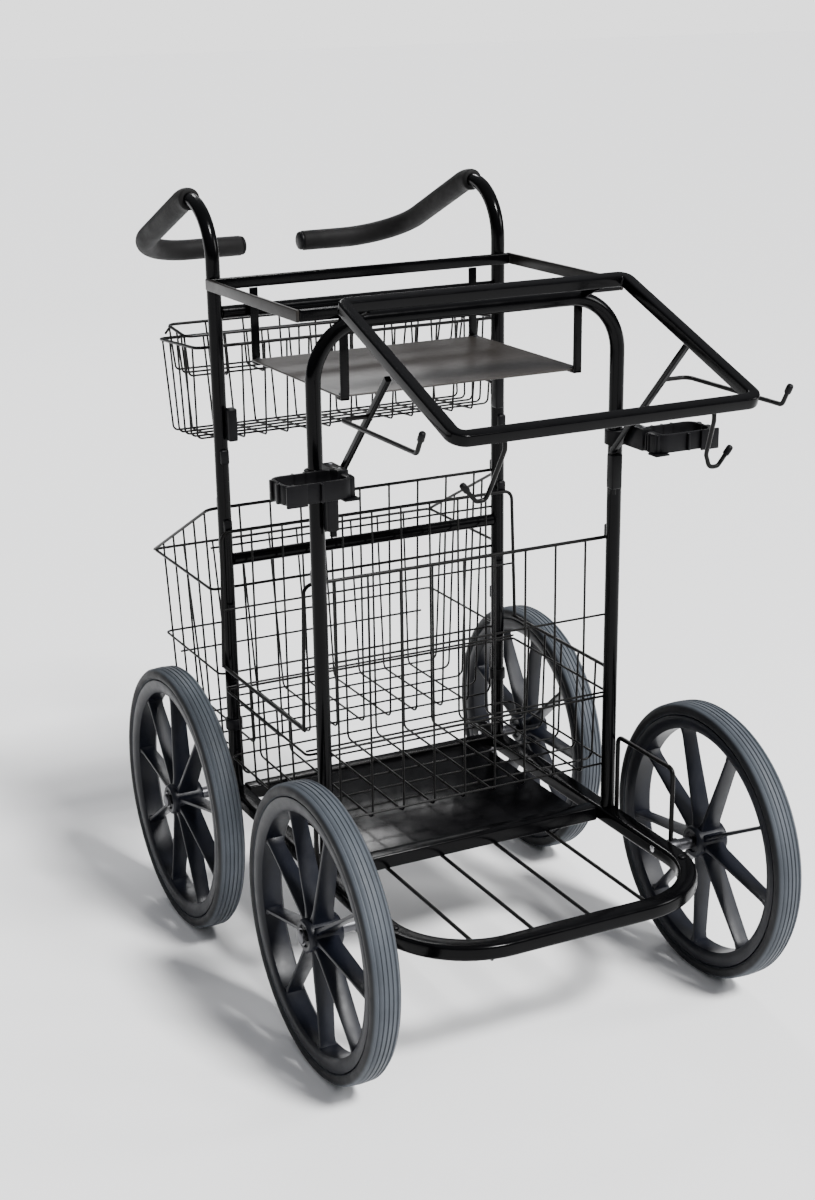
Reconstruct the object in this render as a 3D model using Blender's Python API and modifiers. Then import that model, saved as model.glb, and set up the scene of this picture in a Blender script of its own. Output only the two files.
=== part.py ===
"""Four-wheeled tube-frame utility cart with wire baskets, bag frame and tool clamps.

Units are metres. +Z is up, -Y is the front (bag frame), +Y is the rear (hand grips),
X runs across the cart. The origin is on the ground under the middle of the bounding box.
"""

from math import cos, pi, radians, sin, tan

import bmesh
import bpy
from mathutils import Matrix, Vector

CART = "utility_cart"
SIDES = (("left", -1), ("right", 1))
GAP = 0.0003  # clearance between pieces that touch on the real cart
BEND_STEPS = 6  # straight pieces in one tube bend
TUBE_SIDES = 4  # curve bevel resolution, twelve sides round
WIRE_SIDES = 2  # curve bevel resolution, eight sides round

# Wheels
WHEEL_RADIUS = 0.178
WHEEL_STEPS = 36
AXLE_Z = WHEEL_RADIUS * cos(pi / WHEEL_STEPS)  # a flat facet of the tyre meets the ground
TRACK_HALF = 0.268
FRONT_AXLE_Y = -0.2775
REAR_AXLE_Y = 0.167
TYRE_HALF_WIDTH = 0.0185
RIM_OUTER = 0.1625
RIM_INNER = 0.1435
RIM_HALF_WIDTH = 0.0165
HUB_RADIUS = 0.022
HUB_HALF_WIDTH = 0.022
SPOKES = 9
SPOKE_THICKNESS = 0.006
SPOKE_HUB_WIDTH = 0.026
SPOKE_RIM_WIDTH = 0.018
AXLE_RADIUS = 0.006
AXLE_COLLAR_RADIUS = 0.010
AXLE_NUT_RADIUS = 0.0095
AXLE_NUT_LENGTH = 0.005

# Base frame
RAIL_Z = 0.179
RAIL_HEIGHT = 0.019
RAIL_WIDTH = 0.024
RAIL_X = 0.200
LOOP_FRONT_Y = -0.4105
LOOP_REAR_Y = 0.190
LOOP_BEND = 0.107
BAR_WIDTH = 0.020
BASE_FRONT_BAR_Y = -0.140
BASE_REAR_BAR_Y = 0.140
FLOOR_THICKNESS = 0.002
FLOOR_HALF_X = 0.163
FLOOR_DROP = 0.0025  # the floor plate lies this far below the rails' top faces
PLATFORM_RODS = 4
PLATFORM_ROD_SPACING = 0.077
PLATFORM_ROD_RADIUS = 0.0025
GUARD_ROD_RADIUS = 0.003
GUARD_REAR_Y = -0.1525
GUARD_TOP_Z = 0.283
GUARD_BEND = 0.009

# Uprights and hand grips
TUBE_RADIUS = 0.009
UPRIGHT_X = 0.201
FRONT_Y = -0.152
REAR_Y = 0.141
HOOP_TOP_Z = 0.8545
HOOP_BEND = 0.068
NECK_Z = 0.888
NECK_BEND = 0.070
NECK_DROP = radians(23.0)
GRIP_CORNER_Y = 0.4495
GRIP_CORNER_BEND = 0.085
GRIP_END_X = {"left": 0.0385, "right": 0.0545}
GRIP_RADIUS = 0.014
GRIP_START_TURN = radians(88.0)
CAP_LENGTH = 0.005

# Top frame, cross tubes and shelf
TOP_BAR_HEIGHT = 0.014
TOP_BAR_THICKNESS = 0.006
SIDE_RAIL_THICKNESS = 0.004
SIDE_RAIL_REAR_Y = 0.1350
TOP_BAR_Z = 0.863
CROSS_TUBE_RADIUS = 0.008
UPPER_TUBE_Z = 0.826
LOWER_TUBE_Z = 0.5066
SHELF_TOP_Z = 0.767
SHELF_THICKNESS = 0.0025
SHELF_HALF_X = 0.1607
HANGER_X = 0.1545
HANGER_WIDTH = 0.011
HANGER_THICKNESS = 0.003
HANGER_FOOT = 0.016

# Bag frame
BAG_X = 0.182
BAG_TUBE_HALF = 0.007
BAG_TUBE_CHAMFER = 0.0018
BAG_REAR_Y = -0.1935
BAG_REAR_Z = 0.879
BAG_FRONT_Y = -0.4565
BAG_FRONT_Z = 0.7830
BAG_REAR_BEND = 0.009
BAG_FRONT_BEND = 0.013
STRUT_HALF = 0.0034
STRUT_X = 0.188
STRUT_TOP = (-0.3165, 0.8205)
STRUT_KNEE = (-0.1680, 0.6675)
STRUT_FOOT_Z = 0.613
HOOK_ROD_X = 0.222
HOOK_ROD_Z = 0.772
HOOK_ROD_FRONT_Y = -0.4475
HOOK_ROD_TIP = (-0.4606, 0.795)
HOOK_ROD_RADIUS = 0.0027
J_HOOK_RADIUS = 0.0026
BRACKET_X = 0.148
BRACKET_THICKNESS = 0.004
BRACKET_EYE = 0.0130

# Tool clamps
CLAMP_X = 0.239
CLAMP_Y = -0.2255
CLAMP_LOW_Z = 0.6785
CLAMP_HIGH_Z = 0.7015
CLAMP_HALF_X = 0.0425
CLAMP_HALF_Y = 0.0265
CLAMP_WALL = 0.0055
CLAMP_BEND = 0.016  # outer corner radius of the clamp's rounded rectangle
CLAMP_SPLIT = 0.001  # half the gap between the clamp's two halves
COLLAR_OUTER = 0.0135
ARM_LOW_Z = 0.672
ARM_HIGH_Z = 0.690
ARM_WIDTH = 0.010
ARM_LAP = 0.0032  # how far the arm runs into the collar and the clamp's wall

# Wire baskets, as thin closed tubs
WALL = 0.003
SUPPORT_Z = 0.6875
SUPPORT_SIZE = (0.012, 0.014, 0.042)
# The floor loop and the rim loop of each tub: half width, front y, rear y, front z, rear z
TUBS = {
    "upper_basket": [(0.2145, 0.1765, 0.2930, 0.6545, 0.6470), (0.2190, 0.1670, 0.3090, 0.7805, 0.7715)],
    "tray": [(0.2055, 0.2255, 0.2880, 0.7275, 0.7275), (0.2130, 0.2200, 0.2890, 0.7870, 0.7935)],
    "rear_basket": [(0.2080, 0.1580, 0.3530, 0.2350, 0.2350), (0.2185, 0.1545, 0.3785, 0.5740, 0.4635)],
    "front_basket": [(0.2140, -0.1370, 0.1260, 0.2300, 0.2300), (0.2190, -0.1375, 0.1265, 0.5510, 0.5510)],
}
SIDE_CUT_LOW = (-0.3, -0.134, 0.372)  # the front basket's side walls stop at this height
SIDE_CUT_HIGH = (0.3, 0.123, 0.6)


# ---------------------------------------------------------------- helpers


def clear_scene():
    for obj in list(bpy.data.objects):
        bpy.data.objects.remove(obj, do_unlink=True)


def new_collection(name, hidden=False):
    collection = bpy.data.collections.new(name)
    bpy.context.scene.collection.children.link(collection)
    collection.hide_render = hidden
    return collection


def make_material(name, colour, roughness, metallic):
    material = bpy.data.materials.new(name)
    material.use_nodes = True
    shader = material.node_tree.nodes["Principled BSDF"]
    shader.inputs["Base Color"].default_value = (*colour, 1.0)
    shader.inputs["Roughness"].default_value = roughness
    shader.inputs["Metallic"].default_value = metallic
    return material


def add_object(name, data, material, collection):
    obj = bpy.data.objects.new(name, data)
    collection.objects.link(obj)
    if material and not data.materials:
        data.materials.append(material)
    return obj


def mesh_object(name, shape, material, collection):
    mesh = bpy.data.meshes.new(name)
    shape.to_mesh(mesh)
    shape.free()
    return add_object(name, mesh, material, collection)


def bevel_edges(obj, width, segments=1):
    modifier = obj.modifiers.new("round_edges", "BEVEL")
    modifier.width = width
    modifier.segments = segments
    modifier.limit_method = "ANGLE"
    modifier.angle_limit = radians(50)
    return obj


def add_box(name, low, high, material, collection, rounding=0.0):
    low, high = Vector(low), Vector(high)
    shape = bmesh.new()
    bmesh.ops.create_cube(shape, size=1.0)
    size = high - low
    bmesh.ops.scale(shape, vec=size, verts=shape.verts)
    obj = mesh_object(name, shape, material, collection)
    obj.location = (low + high) / 2
    return bevel_edges(obj, rounding) if rounding else obj


def rounded_path(corners, radii, closed=False):
    """Points along straight runs between the corners, with an arc at each corner that has a radius."""
    corners = [Vector(corner) for corner in corners]
    count = len(corners)
    points = []
    for index, corner in enumerate(corners):
        radius = radii[index]
        is_end = not closed and index in (0, count - 1)
        if is_end or radius == 0:
            points.append(corner)
            continue
        before = (corners[index - 1] - corner).normalized()
        after = (corners[(index + 1) % count] - corner).normalized()
        half_angle = before.angle(after) / 2
        reach = radius / tan(half_angle)
        start, end = corner + before * reach, corner + after * reach
        centre = corner + (before + after).normalized() * (radius / sin(half_angle))
        turn = pi - 2 * half_angle
        for step in range(BEND_STEPS + 1):
            share = step / BEND_STEPS
            arm_a = (start - centre) * sin((1 - share) * turn) / sin(turn)
            arm_b = (end - centre) * sin(share * turn) / sin(turn)
            points.append(centre + arm_a + arm_b)
    return points


def add_tube(name, points, radius, material, collection, sides=TUBE_SIDES, closed=False, caps=True):
    curve = bpy.data.curves.new(name, "CURVE")
    curve.dimensions = "3D"
    curve.bevel_depth = radius
    curve.bevel_resolution = sides
    curve.use_fill_caps = caps and not closed
    spline = curve.splines.new("POLY")
    spline.points.add(len(points) - 1)
    for point, place in zip(spline.points, points):
        point.co = (*place, 1.0)
    spline.use_cyclic_u = closed
    spline.use_smooth = True
    return add_object(name, curve, material, collection)


def add_plate(name, outlines, half_thickness, material, collection):
    """A flat outline in the object's own XY plane, with holes, and with thickness along its Z."""
    curve = bpy.data.curves.new(name, "CURVE")
    curve.dimensions = "2D"
    curve.fill_mode = "BOTH"
    curve.extrude = half_thickness
    for outline in outlines:
        spline = curve.splines.new("POLY")
        spline.points.add(len(outline) - 1)
        for point, place in zip(spline.points, outline):
            point.co = (place[0], place[1], 0.0, 1.0)
        spline.use_cyclic_u = True
    return add_object(name, curve, material, collection)


def arc_points(centre, radius, start, end, steps):
    turn = (end - start) / steps
    angles = [start + turn * step for step in range(steps + 1)]
    return [(centre[0] + radius * cos(a), centre[1] + radius * sin(a)) for a in angles]


def bake_to_mesh(obj, collection):
    """Replaces an object by the welded mesh that its curve and modifiers make."""
    graph = bpy.context.evaluated_depsgraph_get()
    mesh = bpy.data.meshes.new_from_object(obj.evaluated_get(graph))
    shape = bmesh.new()
    shape.from_mesh(mesh)
    bmesh.ops.remove_doubles(shape, verts=shape.verts, dist=1e-5)
    bmesh.ops.recalc_face_normals(shape, faces=shape.faces)
    shape.to_mesh(mesh)
    shape.free()
    name, place = obj.name, obj.matrix_world.copy()
    bpy.data.objects.remove(obj, do_unlink=True)
    baked = add_object(name, mesh, None, collection)
    baked.matrix_world = place
    return baked


def join_by_union(obj, others):
    for other in others:
        modifier = obj.modifiers.new("union", "BOOLEAN")
        modifier.operation = "UNION"
        modifier.solver = "EXACT"
        modifier.object = other
        other.hide_render = True
        other.display_type = "WIRE"
    return obj


def turned(name, profile, steps, material, collection):
    """A solid of revolution about its own Z axis. The profile runs from top to bottom, as (radius, height)."""
    shape = bmesh.new()
    verts = [shape.verts.new((radius, 0.0, height)) for radius, height in profile]
    for first, second in zip(verts, verts[1:]):
        shape.edges.new((first, second))
    obj = mesh_object(name, shape, material, collection)
    modifier = obj.modifiers.new("turn", "SCREW")
    modifier.steps = steps
    modifier.render_steps = steps
    modifier.use_merge_vertices = True
    modifier.merge_threshold = 1e-5
    modifier.use_smooth_shade = True
    return obj


# ---------------------------------------------------------------- wheels


def mirrored_ring(upper):
    """A closed ring section from its upper half, listed from the outer side over the top to the inner side."""
    lower = [(radius, -height) for radius, height in upper]
    return upper[::-1] + lower + [upper[-1]]


def tyre_profile():
    half, crown, seat = TYRE_HALF_WIDTH, WHEEL_RADIUS, RIM_OUTER + GAP
    return mirrored_ring([
        (crown, 0.45 * half),
        (crown - 0.0040, 0.86 * half),
        (crown - 0.0112, half),
        (seat, RIM_HALF_WIDTH),
    ])


def rim_ring_profile():
    half = RIM_HALF_WIDTH
    return mirrored_ring([
        (RIM_OUTER, half - 0.001),
        (RIM_OUTER - 0.003, half),
        (RIM_INNER, half - 0.004),
    ])


def hub_profile():
    bore = AXLE_RADIUS + GAP
    half = HUB_HALF_WIDTH
    return [
        (bore, half),
        (HUB_RADIUS - 0.006, half),
        (HUB_RADIUS, half - 0.008),
        (HUB_RADIUS, -half + 0.008),
        (HUB_RADIUS - 0.006, -half),
        (bore, -half),
        (bore, half),
    ]


def add_spokes(name, collection):
    """Nine flat blades, each as deep as the hub at its foot and narrower at the rim."""
    shape = bmesh.new()
    foot, tip = HUB_RADIUS - 0.005, RIM_INNER + 0.004
    for index in range(SPOKES):
        made = bmesh.ops.create_cube(shape, size=1.0)["verts"]
        for vert in made:
            at_tip = vert.co.x > 0
            width = SPOKE_RIM_WIDTH if at_tip else SPOKE_HUB_WIDTH
            vert.co = Vector((tip if at_tip else foot, vert.co.y * SPOKE_THICKNESS, vert.co.z * width))
        turn = Matrix.Rotation(2 * pi * index / SPOKES - pi / WHEEL_STEPS, 3, "Z")
        bmesh.ops.rotate(shape, cent=(0, 0, 0), matrix=turn, verts=made)
    return mesh_object(name, shape, None, collection)


def make_rim_mesh(material, parts, cutters):
    ring = turned("rim_ring", rim_ring_profile(), WHEEL_STEPS, material, parts)
    hub = bake_to_mesh(turned("rim_hub", hub_profile(), 18, material, parts), cutters)
    spokes = add_spokes("rim_spokes", cutters)
    ring = bake_to_mesh(ring, parts)
    join_by_union(ring, [spokes, hub])
    baked = bake_to_mesh(ring, parts)
    mesh = baked.data
    mesh.materials.clear()
    mesh.materials.append(material)
    mesh.name = "rim"
    bpy.data.objects.remove(baked, do_unlink=True)
    return mesh


def make_wheels(materials, parts, cutters):
    across = Matrix.Rotation(pi / 2, 4, "Y")
    half_step = Matrix.Rotation(pi / WHEEL_STEPS, 4, "Z")
    rim_mesh = make_rim_mesh(materials["rim"], parts, cutters)
    tyre_mesh = None
    for end, axle_y in (("front", FRONT_AXLE_Y), ("rear", REAR_AXLE_Y)):
        for side, sign in SIDES:
            place = Matrix.Translation((sign * TRACK_HALF, axle_y, AXLE_Z)) @ across @ half_step
            label = f"{end}_{side}"
            rim = add_object(f"rim_{label}", rim_mesh, materials["rim"], parts)
            rim.matrix_world = place
            if tyre_mesh is None:
                tyre = bake_to_mesh(turned("tyre", tyre_profile(), WHEEL_STEPS, None, parts), parts)
                tyre_mesh = tyre.data
                bpy.data.objects.remove(tyre, do_unlink=True)
            tyre = add_object(f"tyre_{label}", tyre_mesh, materials["tyre"], parts)
            tyre.matrix_world = place
            make_axle(label, sign, axle_y, materials, parts)


def make_axle(label, sign, axle_y, materials, parts):
    """A stub axle: spacer collar against the base rail, shaft through the hub, nut outside."""
    start = RAIL_X + RAIL_WIDTH / 2 + GAP
    collar_end = TRACK_HALF - HUB_HALF_WIDTH - 0.001
    nut_start = TRACK_HALF + HUB_HALF_WIDTH + 0.001
    nut_end = nut_start + AXLE_NUT_LENGTH
    profile = [
        (0.0, nut_end),
        (AXLE_NUT_RADIUS, nut_end),
        (AXLE_NUT_RADIUS, nut_start),
        (AXLE_RADIUS, nut_start),
        (AXLE_RADIUS, collar_end),
        (AXLE_COLLAR_RADIUS, collar_end),
        (AXLE_COLLAR_RADIUS, start),
        (0.0, start),
    ]
    axle = turned(f"axle_{label}", profile, 16, materials["steel"], parts)
    axle.matrix_world = Matrix.Translation((0, axle_y, AXLE_Z)) @ Matrix.Rotation(sign * pi / 2, 4, "Y")


# ---------------------------------------------------------------- base


def make_base_loop(materials, parts):
    half = RAIL_WIDTH / 2

    def edge(offset):
        reach, bend = RAIL_X + offset, LOOP_BEND + offset
        centre_y = LOOP_FRONT_Y + LOOP_BEND
        left = arc_points((-RAIL_X + LOOP_BEND, centre_y), bend, pi, 1.5 * pi, BEND_STEPS)
        right = arc_points((RAIL_X - LOOP_BEND, centre_y), bend, 1.5 * pi, 2 * pi, BEND_STEPS)
        return [(-reach, LOOP_REAR_Y)] + left + right + [(reach, LOOP_REAR_Y)]

    outline = edge(half) + edge(-half)[::-1]
    loop = add_plate("base_loop", [outline], RAIL_HEIGHT / 2, materials["tube"], parts)
    loop.location.z = RAIL_Z


def make_base_bars(materials, parts):
    half_x = RAIL_X - RAIL_WIDTH / 2 - GAP
    low_z, high_z = RAIL_Z - RAIL_HEIGHT / 2, RAIL_Z + RAIL_HEIGHT / 2
    for name, y in (("base_front_bar", BASE_FRONT_BAR_Y), ("base_rear_bar", BASE_REAR_BAR_Y)):
        low = (-half_x, y - BAR_WIDTH / 2, low_z)
        high = (half_x, y + BAR_WIDTH / 2, high_z)
        add_box(name, low, high, materials["tube"], parts)
    inner_y = BAR_WIDTH / 2 + GAP
    floor_z = high_z - FLOOR_DROP
    low = (-FLOOR_HALF_X, BASE_FRONT_BAR_Y + inner_y, floor_z - FLOOR_THICKNESS)
    high = (FLOOR_HALF_X, BASE_REAR_BAR_Y - inner_y, floor_z)
    add_box("floor_plate", low, high, materials["tube"], parts)


def make_platform_rods(materials, parts):
    """Rods welded under the front of the loop and under the front cross bar."""
    z = RAIL_Z - RAIL_HEIGHT / 2 - PLATFORM_ROD_RADIUS - GAP
    front_y, rear_y = LOOP_FRONT_Y, BASE_FRONT_BAR_Y
    first = -PLATFORM_ROD_SPACING * (PLATFORM_RODS - 1) / 2
    for index in range(PLATFORM_RODS):
        x = first + index * PLATFORM_ROD_SPACING
        ends = [Vector((x, front_y, z)), Vector((x, rear_y, z))]
        add_tube(f"platform_rod_{index + 1}", ends, PLATFORM_ROD_RADIUS, materials["wire"], parts, WIRE_SIDES)


def make_wheel_guards(materials, parts):
    """Rod loops on the outer faces of the rails. The front leg ends above the front axle."""
    reach = RAIL_X + RAIL_WIDTH / 2 + GUARD_ROD_RADIUS + GAP
    rear_foot_z = RAIL_Z - RAIL_HEIGHT / 2 + GUARD_ROD_RADIUS
    front_foot_z = AXLE_Z + AXLE_COLLAR_RADIUS + 2 * GAP
    for side, sign in SIDES:
        x = sign * reach
        corners = [
            (x, GUARD_REAR_Y, rear_foot_z),
            (x, GUARD_REAR_Y, GUARD_TOP_Z),
            (x, FRONT_AXLE_Y, GUARD_TOP_Z),
            (x, FRONT_AXLE_Y, front_foot_z),
        ]
        path = rounded_path(corners, [0, GUARD_BEND, GUARD_BEND, 0])
        add_tube(f"wheel_guard_{side}", path, GUARD_ROD_RADIUS, materials["wire"], parts, WIRE_SIDES)


# ---------------------------------------------------------------- uprights


def make_front_hoop(materials, parts):
    foot_z = RAIL_Z + RAIL_HEIGHT / 2 + GAP
    corners = [
        (-UPRIGHT_X, FRONT_Y, foot_z),
        (-UPRIGHT_X, FRONT_Y, HOOP_TOP_Z),
        (UPRIGHT_X, FRONT_Y, HOOP_TOP_Z),
        (UPRIGHT_X, FRONT_Y, foot_z),
    ]
    path = rounded_path(corners, [0, HOOP_BEND, HOOP_BEND, 0])
    add_tube("front_hoop", path, TUBE_RADIUS, materials["tube"], parts)


def neck_point(turn):
    """A point of the gooseneck arc, by how far the tube has turned from vertical."""
    return Vector((UPRIGHT_X, REAR_Y + NECK_BEND * (1 - cos(turn)), NECK_Z + NECK_BEND * sin(turn)))


def handle_tail(side):
    """From the end of the gooseneck down to the grip corner and in to the grip's end, on the right-hand side."""
    neck_end = neck_point(pi / 2 + NECK_DROP)
    run = GRIP_CORNER_Y - neck_end.y
    corner = Vector((UPRIGHT_X, GRIP_CORNER_Y, neck_end.z - run * tan(NECK_DROP)))
    end = Vector((GRIP_END_X[side], GRIP_CORNER_Y, corner.z))
    return rounded_path([neck_end, corner, end], [0, GRIP_CORNER_BEND, 0])


def make_rear_uprights(materials, parts):
    foot = Vector((UPRIGHT_X, REAR_Y, RAIL_Z + RAIL_HEIGHT / 2 + GAP))
    full_turn = pi / 2 + NECK_DROP
    neck = [neck_point(full_turn * step / 8) for step in range(8)]
    grip_turns = [GRIP_START_TURN + (full_turn - GRIP_START_TURN) * step / 2 for step in range(2)]
    for side, sign in SIDES:
        tail = handle_tail(side)
        inward = (tail[-1] - tail[-2]).normalized()
        flip = Vector((sign, 1, 1))
        path = [point * flip for point in [foot] + neck + tail]
        add_tube(f"rear_upright_{side}", path, TUBE_RADIUS, materials["tube"], parts)
        sleeve = [point * flip for point in [neck_point(turn) for turn in grip_turns] + tail]
        grip = add_tube(f"grip_{side}", sleeve, GRIP_RADIUS, materials["foam"], parts, caps=False)
        wall = grip.modifiers.new("sleeve_wall", "SOLIDIFY")
        wall.thickness = GRIP_RADIUS - TUBE_RADIUS - 2 * GAP
        wall.offset = -1
        cap_start = tail[-1] + inward * GAP
        cap = [point * flip for point in (cap_start, cap_start + inward * CAP_LENGTH)]
        add_tube(f"grip_cap_{side}", cap, GRIP_RADIUS - 0.001, materials["plastic"], parts)


# ---------------------------------------------------------------- top frame and shelf


def make_top_frame(materials, parts):
    """Flat bars on edge: one behind the hoop, one before the rear uprights, and one outside each pair."""
    low_z, high_z = TOP_BAR_Z - TOP_BAR_HEIGHT / 2, TOP_BAR_Z + TOP_BAR_HEIGHT / 2
    half_x = UPRIGHT_X + TUBE_RADIUS
    front_low = FRONT_Y + TUBE_RADIUS + GAP
    rear_low = REAR_Y - TUBE_RADIUS - GAP - TOP_BAR_THICKNESS
    for name, low_y in (("top_front_bar", front_low), ("top_rear_bar", rear_low)):
        low = (-half_x, low_y, low_z)
        high = (half_x, low_y + TOP_BAR_THICKNESS, high_z)
        add_box(name, low, high, materials["tube"], parts, 0.001)
    for side, sign in SIDES:
        inner = sign * (half_x + GAP)
        outer = inner + sign * SIDE_RAIL_THICKNESS
        low = (min(inner, outer), front_low, low_z)
        high = (max(inner, outer), SIDE_RAIL_REAR_Y, high_z)
        add_box(f"top_side_rail_{side}", low, high, materials["sheet"], parts, 0.001)


def make_cross_tubes(materials, parts):
    half_x = UPRIGHT_X - TUBE_RADIUS - GAP
    for name, z in (("rear_upper_tube", UPPER_TUBE_Z), ("rear_lower_tube", LOWER_TUBE_Z)):
        ends = [Vector((-half_x, REAR_Y, z)), Vector((half_x, REAR_Y, z))]
        add_tube(name, ends, CROSS_TUBE_RADIUS, materials["tube"], parts)


def hanger_planes():
    """The outer faces, in Y, of the front and the rear pair of shelf hangers."""
    front = FRONT_Y + TUBE_RADIUS + 0.005
    rear = REAR_Y - TUBE_RADIUS - 0.005
    return front, rear


def make_shelf(materials, parts):
    front, rear = hanger_planes()
    low_z = SHELF_TOP_Z - SHELF_THICKNESS
    inset = HANGER_THICKNESS + GAP
    low = (-SHELF_HALF_X, front + inset, low_z)
    high = (SHELF_HALF_X, rear - inset, SHELF_TOP_Z)
    add_box("shelf", low, high, materials["sheet"], parts)


def make_shelf_hangers(materials, parts):
    """Flat strips with an L foot under the shelf, hung from the top frame's cross bars."""
    top_z = TOP_BAR_Z - TOP_BAR_HEIGHT / 2 - GAP
    foot_top = SHELF_TOP_Z - SHELF_THICKNESS - GAP
    foot_low = foot_top - HANGER_THICKNESS
    thick, foot = HANGER_THICKNESS, HANGER_FOOT
    outline = [(0, foot_low), (foot, foot_low), (foot, foot_top), (thick, foot_top), (thick, top_z), (0, top_z)]
    for end, outer_y, inward in zip(("front", "rear"), hanger_planes(), (1, -1)):
        for side, sign in SIDES:
            name = f"shelf_hanger_{end}_{side}"
            section = [(outer_y + inward * across, up) for across, up in outline]
            hanger = add_plate(name, [section], HANGER_WIDTH / 2, materials["tube"], parts)
            hanger.matrix_world = yz_plane(sign * HANGER_X)


def yz_plane(x):
    """Stands a flat outline up: its own X becomes Y, its own Y becomes Z, its thickness runs along X."""
    return Matrix(((0, 0, 1, x), (1, 0, 0, 0), (0, 1, 0, 0), (0, 0, 0, 1)))


def make_basket_supports(materials, parts):
    """Blocks on the front of the rear uprights that carry the upper basket's hooks."""
    width, depth, height = SUPPORT_SIZE
    back_y = REAR_Y - TUBE_RADIUS - GAP
    for side, sign in SIDES:
        centre_x = sign * (UPRIGHT_X - TUBE_RADIUS)
        low = (centre_x - width / 2, back_y - depth, SUPPORT_Z - height / 2)
        high = (centre_x + width / 2, back_y, SUPPORT_Z + height / 2)
        add_box(f"basket_support_{side}", low, high, materials["plastic"], parts, 0.002)


# ---------------------------------------------------------------- bag frame


def make_bag_frame(materials, parts, cutters):
    """A closed loop of square tube, drawn flat about the middle of its rear bar and then sloped down."""
    section = bpy.data.curves.new("bag_tube_section", "CURVE")
    section.dimensions = "2D"
    spline = section.splines.new("POLY")
    spline.points.add(7)
    half, flat = BAG_TUBE_HALF, BAG_TUBE_HALF - BAG_TUBE_CHAMFER
    octagon = [(half, -flat), (half, flat), (flat, half), (-flat, half)]
    octagon += [(-across, -up) for across, up in octagon]
    for point, place in zip(spline.points, octagon[::-1]):
        point.co = (place[0], place[1], 0.0, 1.0)
    spline.use_cyclic_u = True
    profile = add_object("bag_tube_section", section, None, cutters)
    profile.hide_render = True
    drop, run = BAG_REAR_Z - BAG_FRONT_Z, BAG_REAR_Y - BAG_FRONT_Y
    length = (run**2 + drop**2) ** 0.5
    corners = [(-BAG_X, 0, 0), (BAG_X, 0, 0), (BAG_X, -length, 0), (-BAG_X, -length, 0)]
    bends = [BAG_REAR_BEND, BAG_REAR_BEND, BAG_FRONT_BEND, BAG_FRONT_BEND]
    path = rounded_path(corners, bends, closed=True)
    frame = add_tube("bag_frame", path, 0.0, materials["tube"], parts, closed=True)
    frame.data.twist_mode = "Z_UP"
    frame.data.bevel_mode = "OBJECT"
    frame.data.bevel_object = profile
    frame.location = (0, BAG_REAR_Y, BAG_REAR_Z)
    frame.rotation_euler = (Vector((run, drop)).angle_signed(Vector((1, 0))), 0, 0)


def bar_outline(line, half):
    """The outline of a flat bar that follows a bent line, with mitred bends."""
    line = [Vector(point) for point in line]
    sides = ([], [])
    for index, point in enumerate(line):
        before = (point - line[max(index - 1, 0)]).normalized()
        after = (line[min(index + 1, len(line) - 1)] - point).normalized()
        along = (before + after).normalized()
        reference = after if after.length else before
        mitre = half / along.dot(reference)
        across = Vector((-along.y, along.x)) * mitre
        sides[0].append(point + across)
        sides[1].append(point - across)
    return [tuple(point) for point in sides[0] + sides[1][::-1]]


def make_struts(materials, parts):
    """Square diagonal props from the side rails down to a straight foot in front of each upright."""
    outline = bar_outline([STRUT_TOP, STRUT_KNEE, (STRUT_KNEE[0], STRUT_FOOT_Z)], STRUT_HALF)
    for side, sign in SIDES:
        strut = add_plate(f"strut_{side}", [outline], STRUT_HALF, materials["tube"], parts)
        strut.matrix_world = yz_plane(sign * STRUT_X)


def strut_point(z):
    top, knee = Vector(STRUT_TOP), Vector(STRUT_KNEE)
    return top.lerp(knee, (top.y - z) / (top.y - knee.y))


def make_hook_rods(materials, parts):
    """A rod out of each strut, forward beside the bag frame, with an upturned tip."""
    root_y = strut_point(HOOK_ROD_Z).x
    start = Vector((STRUT_X + STRUT_HALF + GAP, root_y, HOOK_ROD_Z))
    tip_y, tip_z = HOOK_ROD_TIP
    corners = [
        start,
        Vector((HOOK_ROD_X, root_y, HOOK_ROD_Z)),
        Vector((HOOK_ROD_X, HOOK_ROD_FRONT_Y, HOOK_ROD_Z)),
        Vector((HOOK_ROD_X, tip_y, tip_z)),
    ]
    for side, sign in SIDES:
        flip = Vector((sign, 1, 1))
        path = rounded_path([corner * flip for corner in corners], [0, 0.010, 0.007, 0])
        add_tube(f"hook_rod_{side}", path, HOOK_ROD_RADIUS, materials["wire"], parts, WIRE_SIDES)


def make_j_hooks(materials, parts):
    """Small hooks under the front rail, tips pointing outward."""
    top_z = BAG_FRONT_Z - BAG_TUBE_HALF * 1.3
    corners = [
        Vector((0.127, BAG_FRONT_Y, top_z)),
        Vector((0.127, BAG_FRONT_Y, top_z - 0.006)),
        Vector((0.132, BAG_FRONT_Y + 0.019, 0.7255)),
        Vector((0.138, BAG_FRONT_Y + 0.021, 0.7110)),
        Vector((0.148, BAG_FRONT_Y + 0.021, 0.7110)),
        Vector((0.165, BAG_FRONT_Y + 0.021, 0.7300)),
    ]
    for side, sign in SIDES:
        flip = Vector((sign, 1, 1))
        path = [corner * flip for corner in corners]
        add_tube(f"j_hook_{side}", path, J_HOOK_RADIUS, materials["wire"], parts, WIRE_SIDES)


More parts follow.
